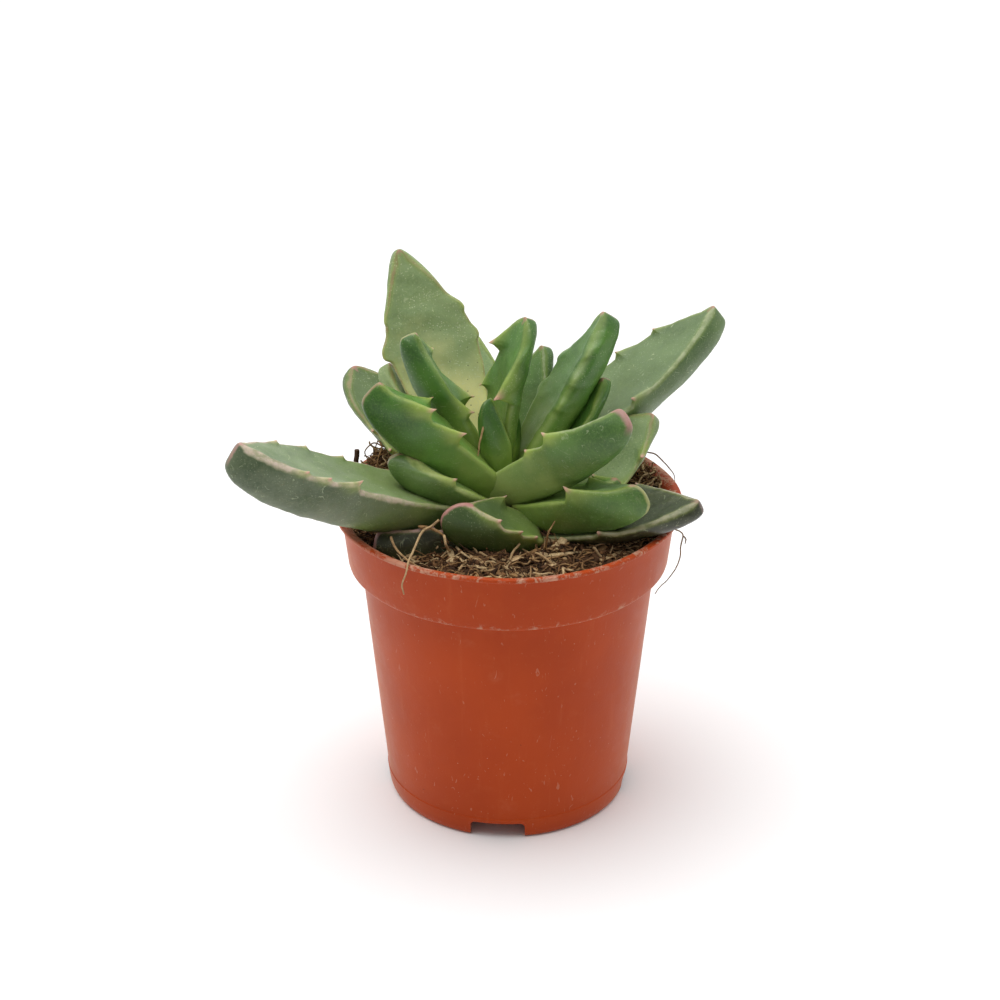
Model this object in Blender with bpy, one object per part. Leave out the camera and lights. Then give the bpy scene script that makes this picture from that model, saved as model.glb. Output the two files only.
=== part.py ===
"""Potted tiger jaws: a small toothed succulent in a plastic nursery pot.

One object for each real piece: the pot, the soil, two short stems and one object for every
leaf, with its marginal teeth grown from it. Leaves are lofted along a bent midline from a
few sizes each, inner leaves first. Every leaf is then cut back where an inner leaf or a stem
already stands, so that neighbours lie a hair's breadth apart, as they do at the crown.
"""
from collections import namedtuple
from math import cos, exp, hypot, pi, radians, sin

import bmesh
import bpy
from mathutils import Matrix, Vector, noise
from mathutils.bvhtree import BVHTree

MM = 0.001
GAP = 0.3 * MM

# Pot: a 5.5 cm nursery pot, radii and heights from the table up
POT_HEIGHT = 50.8 * MM
LIP_RADIUS = 27.5 * MM
LIP_INNER_RADIUS = 26.6 * MM
LIP_THICKNESS = 0.6 * MM
LIP_ROUND = 0.15 * MM
COLLAR_TOP_RADIUS = 26.45 * MM
COLLAR_FOOT_RADIUS = 25.35 * MM
COLLAR_FOOT_HEIGHT = 40.9 * MM
COLLAR_ROUND = 0.45 * MM
BODY_TOP_RADIUS = 23.4 * MM
BODY_FOOT_RADIUS = 19.37 * MM
WALL = 0.9 * MM
CORNER = 0.4 * MM
FOOT_BEND_HEIGHT = 1.2 * MM
FOOT_EDGE = (19.25 * MM, 0.35 * MM)
FOOT_RING_RADIUS = 18.8 * MM
FOOT_RING_INNER_RADIUS = 17.9 * MM
FLOOR_UNDERSIDE = 3.0 * MM
FLOOR_TOP = 4.0 * MM
NOTCHES = 4
NOTCH_WIDTH = 8.7 * MM
NOTCH_HEIGHT = 2.9 * MM
FIRST_NOTCH_AZIMUTH = 265
DRAIN_HOLE_RADIUS = 1.7 * MM
DRAIN_RING_RADIUS = 13.0 * MM
DRAIN_HOLE_SIDES = 12
CUT_MARGIN = 1.0 * MM
POT_STEPS = 40

# Soil: coir, level just under the lip. A heap, or a hollow, is (x, y, rise, spread)
SOIL_LEVEL = 48.3 * MM
SOIL_CROWN_RISE = 1.7 * MM
SOIL_CROWN_SPREAD = 14.0 * MM
SOIL_HEAPS = ((-18.5 * MM, 11.5 * MM, 4.6 * MM, 5.5 * MM), (20.0 * MM, 10.0 * MM, 2.2 * MM, 6.0 * MM),
              (-17.0 * MM, -14.0 * MM, -1.3 * MM, 5.0 * MM), (1.0 * MM, -12.5 * MM, -0.9 * MM, 4.5 * MM))
SOIL_LUMP_RISE = 0.9 * MM
SOIL_LUMP_SIZE = 3.4 * MM
SOIL_EDGE_BACK = 0.4 * MM
SOIL_STEPS = 40
SOIL_RINGS = 8

# Stems, in millimetres: place beside the pot's axis, radius at the foot and height of the top
STEM_FOOT = 43.0 * MM
STEM_TAPER = 0.7
STEM_SIDES = 14
Stem = namedtuple("Stem", "name x y radius top")
STEMS = (
    Stem("stem_main", -0.9, 0.4, 2.6, 54.6),
    Stem("stem_side", 5.0, -6.6, 2.0, 50.4),
)

# Leaf: sizes in millimetres, angles in degrees, teeth as (place from base to tip, length)
Leaf = namedtuple(
    "Leaf",
    "name base azimuth rise roll bend length width depth chin left_teeth right_teeth "
    "widest point base_width")
Leaf.__new__.__defaults__ = ((), (), 0.55, 1.7, 0.66)

LEAVES = (
    Leaf("leaf_centre_front", (-0.8, -0.8, 56.0), 212, 82, 18, -4, 13.3, 5.8, 3.3, 0.1,
         widest=0.4, point=1.6),
    Leaf("leaf_centre_back", (-0.6, 1.3, 56.0), 32, 88, 0, 0, 9.0, 4.8, 2.6, 0.0,
         widest=0.4, point=1.6),
    Leaf("leaf_right_front", (-2.4, 0.6, 53.4), 324, 39, -15, 0, 29.7, 9.3, 6.8, 1.4,
         right_teeth=((0.63, 1.6), (0.46, 0.8)), base_width=1.1),
    Leaf("leaf_left_mid", (0.5, -1.2, 54.3), 198.5, 50, -6, -13.5, 28.8, 9.0, 7.6, 0.6,
         left_teeth=((0.75, 2.1), (0.55, 2.1)), right_teeth=((0.67, 1.6),)),
    Leaf("leaf_left_up", (-1.0, 2.6, 54.2), 176, 60.5, 14, 0, 26.8, 9.0, 5.0, 0.5,
         left_teeth=((0.5, 1.5),), right_teeth=((0.86, 1.0), (0.5, 2.4))),
    Leaf("leaf_right_centre", (-0.8, 1.2, 53.8), 21, 62.5, -7, -10, 30.8, 10.8, 5.8, 0.2,
         left_teeth=((0.68, 0.8), (0.5, 1.2)),
         right_teeth=((0.78, 0.8), (0.64, 0.8), (0.5, 0.8)), point=1.9),
    Leaf("leaf_back_centre", (-2.2, 3.0, 54.5), 42, 96, -24, -32, 26.5, 11.6, 3.5, 0.0,
         left_teeth=((0.79, 2.2), (0.5, 1.4)), right_teeth=((0.62, 2.8),), point=2.8,
         base_width=0.85),
    Leaf("leaf_back_tall", (-4.6, 4.4, 53.5), 125.2, 53, -24, 6, 37.5, 14.2, 5.0, 0.3,
         left_teeth=((0.74, 0.7), (0.61, 1.6)), right_teeth=((0.7, 0.9), (0.57, 0.8)),
         widest=0.6, point=1.4, base_width=0.3),
    Leaf("leaf_far_right", (1.0, 6.3, 51.6), 18, 38.5, 1, -3, 41.8, 14.6, 7.0, 0.1,
         left_teeth=((0.78, 0.8), (0.62, 1.0), (0.45, 1.2)),
         right_teeth=((0.55, 1.2), (0.42, 1.2)), point=1.9),
    Leaf("leaf_left_small", (-2.5, -3.4, 53.0), 195.5, 35, 0, -2, 14.6, 9.6, 5.6, 3.6,
         left_teeth=((0.66, 1.2),), right_teeth=((0.86, 1.3),), point=3.2),
    Leaf("leaf_far_left", (-6.0, -2.0, 51.8), 210, 22.5, -5, 6.5, 43.0, 12.8, 8.4, 0.4,
         left_teeth=((0.78, 0.7), (0.7, 0.8), (0.6, 1.7)),
         right_teeth=((0.8, 0.6), (0.66, 0.5), (0.5, 0.6)), point=2.9),
    Leaf("leaf_back_right", (-0.5, 7.0, 51.8), 43, 72, -6, -7, 21.5, 9.0, 3.4, 0.0,
         left_teeth=((0.6, 1.2),), right_teeth=((0.7, 0.6), (0.45, 1.2))),
    Leaf("leaf_right_behind", (3.5, 1.5, 52.2), 14, 56.5, 7.5, 0, 20.9, 8.0, 2.8, 0.3,
         left_teeth=((0.6, 1.0),), right_teeth=((0.6, 1.0),)),
    Leaf("leaf_right_low", (2.0, -4.0, 52.6), 325, 22, 0, 0, 21.8, 7.9, 6.8, 2.1,
         left_teeth=((0.55, 1.2),), right_teeth=((0.63, 2.2),)),
    Leaf("leaf_right_shadow", (3.0, -3.2, 51.6), 358, 10, 0, 16, 14.5, 7.2, 3.0, 0.5,
         left_teeth=((0.8, 1.2),), right_teeth=((0.8, 1.0), (0.5, 1.2))),
    Leaf("leaf_right_mid", (4.5, -1.9, 50.4), 19, 29.5, 24, 14, 23.3, 12.2, 3.4, 0.0,
         left_teeth=((0.6, 1.2), (0.4, 1.2)), right_teeth=((0.78, 1.0), (0.54, 1.6)),
         widest=0.6, point=1.5),
    Leaf("leaf_far_right_low", (3.5, -4.0, 48.7), 340, 17, 9.5, 0, 28.2, 13.3, 4.4, 0.2,
         left_teeth=((0.6, 0.8), (0.42, 1.0)), right_teeth=((0.5, 0.8),)),
    Leaf("leaf_front", (5.0, -9.5, 50.0), 199, 28, -14, 2, 13.1, 8.3, 7.8, 2.8,
         left_teeth=((0.74, 1.3), (0.46, 1.3), (0.2, 0.9)), right_teeth=((0.55, 1.5),)),
    Leaf("leaf_low_left", (-3.0, -8.0, 49.0), 190, 6, 29, 0, 16.9, 8.6, 6.8, 1.2,
         left_teeth=((0.6, 0.8),), right_teeth=((0.5, 0.8),)),
    Leaf("leaf_back_left", (-5.0, 4.5, 52.2), 146, 35, 17.5, 14, 23.3, 7.3, 3.8, 0.2,
         left_teeth=((0.55, 1.0),), right_teeth=((0.6, 1.0), (0.4, 1.2)), widest=0.65),
    Leaf("leaf_left_back", (-6.5, 4.0, 50.0), 136.8, 25.4, -1, 8, 29.2, 11.3, 4.4, 0.3,
         left_teeth=((0.6, 0.8), (0.45, 1.2)), right_teeth=((0.62, 1.0),),
         widest=0.65, point=3.0),
    Leaf("leaf_back_tip", (1.0, 7.5, 51.0), 90, 48, 0, 0, 23.6, 8.4, 4.2, 0.3,
         left_teeth=((0.6, 1.0),), right_teeth=((0.6, 1.0),)),
    Leaf("leaf_back_low", (-1.6, 9.0, 50.2), 100, 35.5, 1.5, 2, 27.0, 8.4, 4.2, 0.3,
         left_teeth=((0.66, 1.0),), right_teeth=((0.68, 0.8),)),
)

# Shape shared by all the leaves: where the keel starts to turn up and how blunt its chin is,
# how deep the base is, and the shallow channel along the upper face, as shares of their sizes
KEEL_TURN = 0.6
CHIN_TURN = 0.72
CHIN_HEIGHT = 0.42
BASE_DEPTH = 0.75
CHANNEL_DEPTH = 0.10
CHANNEL_WIDTH = 0.6
KEEL_SHARPNESS = 0.45

# Cross-sections from base to tip, and the points on each side between margin and keel
STATIONS = (0.0, 0.15, 0.3, 0.45, 0.6, 0.7, 0.79, 0.87, 0.93, 0.97)
STATION_CLEARANCE = 0.028
LAST_STATION = 0.98
SIDE_POINTS = 2

# Tooth: shares of its length that go out, up over the face and back to the base, and how far
# its foot runs along the margin on the tip side and the base side, in millimetres
TOOTH_OUT = 0.1
TOOTH_UP = 0.85
TOOTH_BACKWARD = 0.55
TOOTH_FOOT_FRONT = 1.8
TOOTH_FOOT_BACK = 0.9

# Room cut for a piece: passes that settle each corner's move, and its largest share of the gap
SWELL_ROUNDS = 24
STEEPEST_SWELL = 3.0

SMOOTH_ANGLE = radians(35)
WELD_DISTANCE = 0.002 * MM
SAME_PLACE = 1e-6

OLD_LEAVES = ("leaf_back_tall", "leaf_far_right", "leaf_far_left", "leaf_far_right_low",
              "leaf_low_left", "leaf_left_back", "leaf_back_left", "leaf_right_mid")
YOUNG_GREEN = (0.13, 0.27, 0.05)
OLD_GREEN = (0.13, 0.21, 0.10)
LEAF_ROUGHNESS = 0.5
TERRACOTTA = (0.42, 0.09, 0.03)
POT_ROUGHNESS = 0.45
COIR_BROWN = (0.09, 0.05, 0.025)
SOIL_ROUGHNESS = 0.95
STEM_BROWN = (0.16, 0.12, 0.06)
STEM_ROUGHNESS = 0.7


def clear_scene():
    for thing in list(bpy.data.objects):
        bpy.data.objects.remove(thing, do_unlink=True)


def add_object(name, mesh):
    thing = bpy.data.objects.new(name, mesh)
    bpy.context.scene.collection.objects.link(thing)
    return thing


def finish(thing, colour, roughness):
    """Give a piece its own plain material, with its colour and gloss."""
    material = bpy.data.materials.new(thing.name)
    material.use_nodes = True
    shader = material.node_tree.nodes["Principled BSDF"]
    shader.inputs["Base Color"].default_value = (*colour, 1.0)
    shader.inputs["Roughness"].default_value = roughness
    shader.inputs["Metallic"].default_value = 0.0
    thing.data.materials.clear()
    thing.data.materials.append(material)
    thing.data.shade_smooth()
    thing.data.set_sharp_from_angle(angle=SMOOTH_ANGLE)


def closed_mesh(name, shape):
    """Turn a closed bmesh into a mesh with its faces pointing out."""
    bmesh.ops.remove_doubles(shape, verts=shape.verts, dist=WELD_DISTANCE)
    bmesh.ops.recalc_face_normals(shape, faces=shape.faces)
    if shape.calc_volume(signed=True) < 0:
        bmesh.ops.reverse_faces(shape, faces=shape.faces)
    bmesh.ops.triangulate(shape, faces=shape.faces)
    mesh = bpy.data.meshes.new(name)
    shape.to_mesh(mesh)
    shape.free()
    return mesh


def lofted(name, loops, tip):
    """Skin rings of points, each as long as the first, with a flat base and a pointed tip."""
    shape = bmesh.new()
    rings = [[shape.verts.new(point) for point in loop] for loop in loops]
    count = len(rings[0])
    for low, high in zip(rings, rings[1:]):
        for step in range(count):
            after = (step + 1) % count
            shape.faces.new((low[step], low[after], high[after], high[step]))
    shape.faces.new(list(reversed(rings[0])))
    point = shape.verts.new(tip)
    for step in range(count):
        shape.faces.new((rings[-1][step], rings[-1][(step + 1) % count], point))
    return closed_mesh(name, shape)


def turned(name, profile, steps):
    """Spin an open profile of (radius, height), whose ends lie on the axis."""
    shape = bmesh.new()
    corners = [shape.verts.new((radius, 0.0, height)) for radius, height in profile]
    edges = [shape.edges.new(pair) for pair in zip(corners, corners[1:])]
    bmesh.ops.spin(shape, geom=corners + edges, cent=(0, 0, 0), axis=(0, 0, 1), dvec=(0, 0, 0),
                   angle=2 * pi, steps=steps, use_merge=True, use_duplicate=False)
    return closed_mesh(name, shape)


def block(name, low, high, turn):
    """The mesh of a block between two corners, turned about the pot's axis."""
    shape = bmesh.new()
    size = Vector(high) - Vector(low)
    middle = (Vector(high) + Vector(low)) / 2
    bmesh.ops.create_cube(shape, size=1.0)
    spread = Matrix.Diagonal((*size, 1))
    place = Matrix.Rotation(turn, 4, "Z") @ Matrix.Translation(middle) @ spread
    bmesh.ops.transform(shape, matrix=place, verts=shape.verts)
    return closed_mesh(name, shape)


def rod(name, foot, radius, top_radius, length, sides):
    """The mesh of an upright tapered rod that stands on its foot point."""
    shape = bmesh.new()
    middle = Vector(foot) + Vector((0, 0, length / 2))
    bmesh.ops.create_cone(shape, cap_ends=True, segments=sides, radius1=radius,
                          radius2=top_radius, depth=length, matrix=Matrix.Translation(middle))
    return closed_mesh(name, shape)


def cut(thing, meshes):
    """Take every mesh out of a piece, then drop the cutters made from them."""
    group = bpy.data.collections.new(thing.name + "_cutters")
    bpy.context.scene.collection.children.link(group)
    for mesh in meshes:
        cutter = bpy.data.objects.new("cutter", mesh)
        group.objects.link(cutter)
        cutter.hide_render = True
        cutter.display_type = "WIRE"
    step = thing.modifiers.new("cut", "BOOLEAN")
    step.operand_type = "COLLECTION"
    step.collection = group
    step.operation = "DIFFERENCE"
    step.solver = "EXACT"
    bpy.context.view_layer.update()
    evaluated = thing.evaluated_get(bpy.context.evaluated_depsgraph_get())
    mesh = bpy.data.meshes.new_from_object(evaluated)
    thing.modifiers.clear()
    thing.data = mesh
    for cutter in list(group.objects):
        bpy.data.objects.remove(cutter, do_unlink=True)
    bpy.data.collections.remove(group)


def connected(start):
    """All the corners that edges join to one corner."""
    body = {start}
    front = [start]
    while front:
        corner = front.pop()
        for edge in corner.link_edges:
            other = edge.other_vert(corner)
            if other not in body:
                body.add(other)
                front.append(other)
    return body


def keep_largest_body(thing):
    """Drop the loose scraps that a cut leaves, and keep the piece's main body."""
    shape = bmesh.new()
    shape.from_mesh(thing.data)
    left = set(shape.verts)
    bodies = []
    while left:
        body = connected(next(iter(left)))
        left -= body
        bodies.append(body)
    main_body = max(bodies, key=len)
    scraps = [corner for corner in shape.verts if corner not in main_body]
    bmesh.ops.delete(shape, geom=scraps, context="VERTS")
    thing.data = closed_mesh(thing.name, shape)


# Pot

def body_radius(height):
    share = height / COLLAR_FOOT_HEIGHT
    return BODY_FOOT_RADIUS + (BODY_TOP_RADIUS - BODY_FOOT_RADIUS) * share


def pot_profile():
    """Inner floor, up the inside, over the lip, down the outside, and under the floor."""
    lip_foot = POT_HEIGHT - LIP_THICKNESS
    shelf = COLLAR_FOOT_HEIGHT + WALL
    under_collar = COLLAR_FOOT_HEIGHT - CORNER
    inside = [
        (0.0, FLOOR_TOP),
        (body_radius(FLOOR_TOP) - WALL, FLOOR_TOP),
        (body_radius(shelf) - WALL, shelf - CORNER),
        (COLLAR_FOOT_RADIUS - WALL, shelf + CORNER / 2),
        (COLLAR_TOP_RADIUS - WALL, lip_foot - CORNER / 2),
        (LIP_INNER_RADIUS, POT_HEIGHT - LIP_ROUND),
        (LIP_INNER_RADIUS + LIP_ROUND, POT_HEIGHT),
    ]
    lip = [
        (LIP_RADIUS - LIP_ROUND, POT_HEIGHT),
        (LIP_RADIUS, POT_HEIGHT - LIP_ROUND),
        (LIP_RADIUS, lip_foot + LIP_ROUND),
        (LIP_RADIUS - LIP_ROUND, lip_foot),
    ]
    outside = [
        (COLLAR_TOP_RADIUS, lip_foot - CORNER / 4),
        (COLLAR_FOOT_RADIUS, COLLAR_FOOT_HEIGHT + COLLAR_ROUND),
        (COLLAR_FOOT_RADIUS - COLLAR_ROUND, COLLAR_FOOT_HEIGHT),
        (BODY_TOP_RADIUS + CORNER / 2, COLLAR_FOOT_HEIGHT),
        (body_radius(under_collar), under_collar),
        (body_radius(FOOT_BEND_HEIGHT), FOOT_BEND_HEIGHT),
        FOOT_EDGE,
    ]
    underneath = [
        (FOOT_RING_RADIUS, 0.0),
        (FOOT_RING_INNER_RADIUS, 0.0),
        (FOOT_RING_INNER_RADIUS, FLOOR_UNDERSIDE),
        (0.0, FLOOR_UNDERSIDE),
    ]
    return inside + lip + outside + underneath


def make_pot():
    """Turn the pot, then cut the notches out of its foot and the drain holes out of its floor."""
    pot = add_object("pot", turned("pot", pot_profile(), POT_STEPS))
    low = (FOOT_RING_INNER_RADIUS - CUT_MARGIN, -NOTCH_WIDTH / 2, -CUT_MARGIN)
    high = (FOOT_EDGE[0] + CUT_MARGIN, NOTCH_WIDTH / 2, NOTCH_HEIGHT)
    hole_foot = FLOOR_UNDERSIDE - CUT_MARGIN
    hole_length = FLOOR_TOP - FLOOR_UNDERSIDE + 2 * CUT_MARGIN
    cutters = []
    for index in range(NOTCHES):
        turn = radians(FIRST_NOTCH_AZIMUTH + index * 360 / NOTCHES)
        foot = (DRAIN_RING_RADIUS * cos(turn), DRAIN_RING_RADIUS * sin(turn), hole_foot)
        cutters.append(block("notch", low, high, turn))
        cutters.append(rod("drain", foot, DRAIN_HOLE_RADIUS, DRAIN_HOLE_RADIUS, hole_length,
                           DRAIN_HOLE_SIDES))
    cut(pot, cutters)
    keep_largest_body(pot)
    finish(pot, TERRACOTTA, POT_ROUGHNESS)
    return pot


# Soil

def soil_height(x, y):
    """Height of the coir: a low crown, heaps at the back, hollows at the front, and lumps."""
    crown = SOIL_CROWN_RISE * exp(-(hypot(x, y) / SOIL_CROWN_SPREAD) ** 2)
    mounds = sum(rise * exp(-(hypot(x - middle_x, y - middle_y) / spread) ** 2)
                 for middle_x, middle_y, rise, spread in SOIL_HEAPS)
    lump = SOIL_LUMP_RISE * noise.noise(Vector((x, y, 0.0)) / SOIL_LUMP_SIZE)
    return SOIL_LEVEL + crown + mounds + lump


def soil_ring(radius, half_turns, height=None):
    """A ring of points, level at a height, or draped over the coir where none is given."""
    ring = []
    for step in range(SOIL_STEPS):
        turn = 2 * pi * (step + half_turns / 2) / SOIL_STEPS
        x = radius * cos(turn)
        y = radius * sin(turn)
        ring.append((x, y, soil_height(x, y) if height is None else height))
    return ring


def make_soil():
    """A plug that fills the pot's inside, with the relief of the coir on top."""
    rim = COLLAR_TOP_RADIUS - WALL - GAP - SOIL_EDGE_BACK
    shelf = COLLAR_FOOT_HEIGHT + WALL
    loops = [
        soil_ring(body_radius(FLOOR_TOP) - WALL - GAP, 0, FLOOR_TOP + GAP),
        soil_ring(body_radius(shelf) - WALL - GAP, 0, shelf - CORNER / 2),
        soil_ring(COLLAR_FOOT_RADIUS - WALL - GAP, 0, shelf + CORNER / 2 + GAP),
    ]
    for ring in range(SOIL_RINGS):
        loops.append(soil_ring(rim * (1 - ring / SOIL_RINGS), ring % 2))
    soil = add_object("soil", lofted("soil", loops, (0.0, 0.0, soil_height(0.0, 0.0))))
    finish(soil, COIR_BROWN, SOIL_ROUGHNESS)
    return soil


# Stems

def stem_mesh(stem, grow=0.0):
    """A short upright stem; grow makes it larger all round, to cut room for it."""
    foot = (stem.x * MM, stem.y * MM, STEM_FOOT - grow)
    length = stem.top * MM - STEM_FOOT + 2 * grow
    radius = stem.radius * MM
    return rod(stem.name, foot, radius + grow, STEM_TAPER * radius + grow, length, STEM_SIDES)


def make_stems():
    stems = []
    for stem in STEMS:
        piece = add_object(stem.name, stem_mesh(stem))
        finish(piece, STEM_BROWN, STEM_ROUGHNESS)
        stems.append(piece)
    return stems


# Leaves

def leaf_axes(leaf):
    """Unit vectors along the leaf, to its left-hand margin, and out of its upper face."""
    turn = radians(leaf.azimuth)
    tilt = radians(leaf.rise)
    along = Vector((cos(tilt) * cos(turn), cos(tilt) * sin(turn), sin(tilt)))
    up = Vector((-sin(tilt) * cos(turn), -sin(tilt) * sin(turn), cos(tilt)))
    left = up.cross(along)
    roll = radians(leaf.roll)
    return along, cos(roll) * left + sin(roll) * up, cos(roll) * up - sin(roll) * left


def half_width(leaf, t):
    """Half the upper face's width at t, from 0 at the base to 1 at the tip."""
    half = leaf.width / 2
    if t < leaf.widest:
        return half * (leaf.base_width + (1 - leaf.base_width) * sin(pi / 2 * t / leaf.widest))
    return half * (1 - ((t - leaf.widest) / (1 - leaf.widest)) ** leaf.point)


def keel(leaf, t):
    """Distance along the leaf and depth of the keel, which swells to a chin at the tip."""
    if t < KEEL_TURN:
        swell = sin(pi / 2 * t / KEEL_TURN)
        return leaf.length * t, leaf.depth * (BASE_DEPTH + (1 - BASE_DEPTH) * swell)
    start = leaf.length * KEEL_TURN
    share = (t - KEEL_TURN) / (1 - KEEL_TURN)
    if share < CHIN_TURN:
        turn = pi / 2 * share / CHIN_TURN
        reach = leaf.length + leaf.chin - start
        depth = leaf.depth * (CHIN_HEIGHT + (1 - CHIN_HEIGHT) * cos(turn))
        return start + reach * sin(turn), depth
    turn = pi / 2 * (share - CHIN_TURN) / (1 - CHIN_TURN)
    return leaf.length + leaf.chin * cos(turn), leaf.depth * CHIN_HEIGHT * (1 - sin(turn))


def leaf_place(leaf, axes, distance, side, height):
    """A point in space from its distance along the bent midline, its side and its height."""
    along, left, up = axes
    lean = radians(leaf.bend) * distance / leaf.length
    if leaf.bend:
        radius = leaf.length / radians(leaf.bend)
        midline = radius * (sin(lean) * along + (1 - cos(lean)) * up)
    else:
        midline = distance * along
    normal = cos(lean) * up - sin(lean) * along
    return (Vector(leaf.base) + midline + side * left + height * normal) * MM


def leaf_stations(leaf):
    """Places of the cross-sections: three for every tooth, and the plain ones between."""
    places = set()
    for t, _ in leaf.left_teeth + leaf.right_teeth:
        places.update((t - TOOTH_FOOT_BACK / leaf.length, t, t + TOOTH_FOOT_FRONT / leaf.length))
    for t in STATIONS:
        if t == 0 or all(abs(t - other) > STATION_CLEARANCE for other in places):
            places.add(t)
    return sorted(t for t in places if 0 <= t < LAST_STATION)


def tooth_length(teeth, t):
    """Length of the tooth that stands at t, or nothing where there is none."""
    for place, length in teeth:
        if abs(t - place) < SAME_PLACE:
            return length
    return 0.0


def leaf_ring(leaf, axes, t):
    """One closed cross-section: left margin, keel, right margin, floor of the channel."""
    half = half_width(leaf, t)
    distance = leaf.length * t
    keel_distance, keel_depth = keel(leaf, t)
    sharpness = 1 + KEEL_SHARPNESS * t
    flanks = []
    for side, teeth in ((1, leaf.left_teeth), (-1, leaf.right_teeth)):
        tooth = tooth_length(teeth, t)
        flank = [(distance - TOOTH_BACKWARD * tooth, side * (half + TOOTH_OUT * tooth),
                  TOOTH_UP * tooth)]
        for step in range(1, SIDE_POINTS + 1):
            turn = pi / 2 * step / (SIDE_POINTS + 1)
            across = cos(turn) ** sharpness
            down = sin(turn) ** sharpness
            flank.append((distance + (keel_distance - distance) * down, side * half * across,
                          -keel_depth * down))
        flanks.append(flank)
    sunk = -CHANNEL_DEPTH * half * (1 - t)
    channel = [(distance, side * CHANNEL_WIDTH * half, sunk) for side in (-1, 1)]
    ring = flanks[0] + [(keel_distance, 0.0, -keel_depth)] + flanks[1][::-1] + channel
    return [leaf_place(leaf, axes, *point) for point in ring]


def leaf_mesh(leaf):
    """Loft the leaf's cross-sections from its base to its tip."""
    axes = leaf_axes(leaf)
    loops = [leaf_ring(leaf, axes, t) for t in leaf_stations(leaf)]
    return lofted(leaf.name, loops, leaf_place(leaf, axes, leaf.length, 0.0, 0.0))


def swell_move(corner, grow):
    """The step that takes a corner out by grow or more from each of its faces."""
    move = Vector()
    for _ in range(SWELL_ROUNDS):
        for face in corner.link_faces:
            short = grow - face.normal.dot(move)
            if short > 0:
                move += short * face.normal
    if move.length > STEEPEST_SWELL * grow:
        move.length = STEEPEST_SWELL * grow
    return move


def swollen_copy(mesh, grow):
    """A copy of a mesh with every face moved out by grow, to cut room for the piece."""
    shape = bmesh.new()
    shape.from_mesh(mesh)
    shape.normal_update()
    moves = [swell_move(corner, grow) for corner in shape.verts]
    for corner, move in zip(shape.verts, moves):
        corner.co += move
    return closed_mesh(mesh.name, shape)


def search_tree(mesh):
    shape = bmesh.new()
    shape.from_mesh(mesh)
    found = BVHTree.FromBMesh(shape)
    shape.free()
    return found


def reaching_into(mesh, others):
    """Those of the swollen neighbours that reach into a mesh."""
    own = search_tree(mesh)
    return [other for other in others if own.overlap(search_tree(other))]


def make_leaves():
    """Build the leaves from the centre outwards, each cut back from those inside it."""
    taken = [stem_mesh(stem, GAP) for stem in STEMS]
    leaves = []
    for leaf in LEAVES:
        piece = add_object(leaf.name, leaf_mesh(leaf))
        room = swollen_copy(piece.data, GAP)
        neighbours = reaching_into(piece.data, taken)
        if neighbours:
            cut(piece, neighbours)
            keep_largest_body(piece)
        finish(piece, OLD_GREEN if leaf.name in OLD_LEAVES else YOUNG_GREEN, LEAF_ROUGHNESS)
        taken.append(room)
        leaves.append(piece)
    return leaves, taken


def make_room_in_soil(soil, taken):
    """Cut the holes that the stems stand in and the hollows under the lowest leaves."""
    cut(soil, reaching_into(soil.data, taken))
    keep_largest_body(soil)
    finish(soil, COIR_BROWN, SOIL_ROUGHNESS)


def stand_on_origin(pieces):
    """Move the object so that the middle of its box, on the table, is the origin."""
    corners = [corner.co for piece in pieces for corner in piece.data.vertices]
    low_x = min(corner.x for corner in corners)
    high_x = max(corner.x for corner in corners)
    low_y = min(corner.y for corner in corners)
    high_y = max(corner.y for corner in corners)
    for piece in pieces:
        piece.location = (-(low_x + high_x) / 2, -(low_y + high_y) / 2, 0.0)


def main():
    clear_scene()
    pot = make_pot()
    soil = make_soil()
    stems = make_stems()
    leaves, taken = make_leaves()
    make_room_in_soil(soil, taken)
    stand_on_origin([pot, soil] + stems + leaves)


main()
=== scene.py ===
"""Looks for the potted tiger jaws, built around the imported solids.

The pot, the soil and every leaf are made again from the sizes of their solids, with rounded
margins, hooked teeth and the relief of skin and coir. Loose fibres, flakes, crumbs and roots lie
on the soil and over the lip. Sizes are millimetres about the pot's axis until a mesh is placed.
"""
from collections import namedtuple
from math import cos, exp, hypot, pi, radians, sin

import bmesh
import bpy
import numpy as np
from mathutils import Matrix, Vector, noise


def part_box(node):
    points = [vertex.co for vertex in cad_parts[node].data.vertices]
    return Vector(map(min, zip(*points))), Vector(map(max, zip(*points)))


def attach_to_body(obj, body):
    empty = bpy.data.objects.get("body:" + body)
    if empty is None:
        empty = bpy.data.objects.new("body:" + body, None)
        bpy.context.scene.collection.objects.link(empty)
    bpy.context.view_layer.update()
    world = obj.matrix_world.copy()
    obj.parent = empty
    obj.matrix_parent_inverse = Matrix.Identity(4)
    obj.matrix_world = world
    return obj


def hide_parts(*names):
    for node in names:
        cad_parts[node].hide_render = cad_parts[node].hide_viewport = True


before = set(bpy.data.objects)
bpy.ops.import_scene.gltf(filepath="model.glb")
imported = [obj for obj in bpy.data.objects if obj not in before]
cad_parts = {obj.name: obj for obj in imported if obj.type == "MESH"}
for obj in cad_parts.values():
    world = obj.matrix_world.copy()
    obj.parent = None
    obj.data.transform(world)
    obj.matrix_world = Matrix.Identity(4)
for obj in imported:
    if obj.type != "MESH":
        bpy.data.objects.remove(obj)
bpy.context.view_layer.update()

MM = 0.001
POT_LOW, POT_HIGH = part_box("pot")
POT_AXIS = ((POT_LOW.x + POT_HIGH.x) / 2, (POT_LOW.y + POT_HIGH.y) / 2, 0.0)

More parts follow.
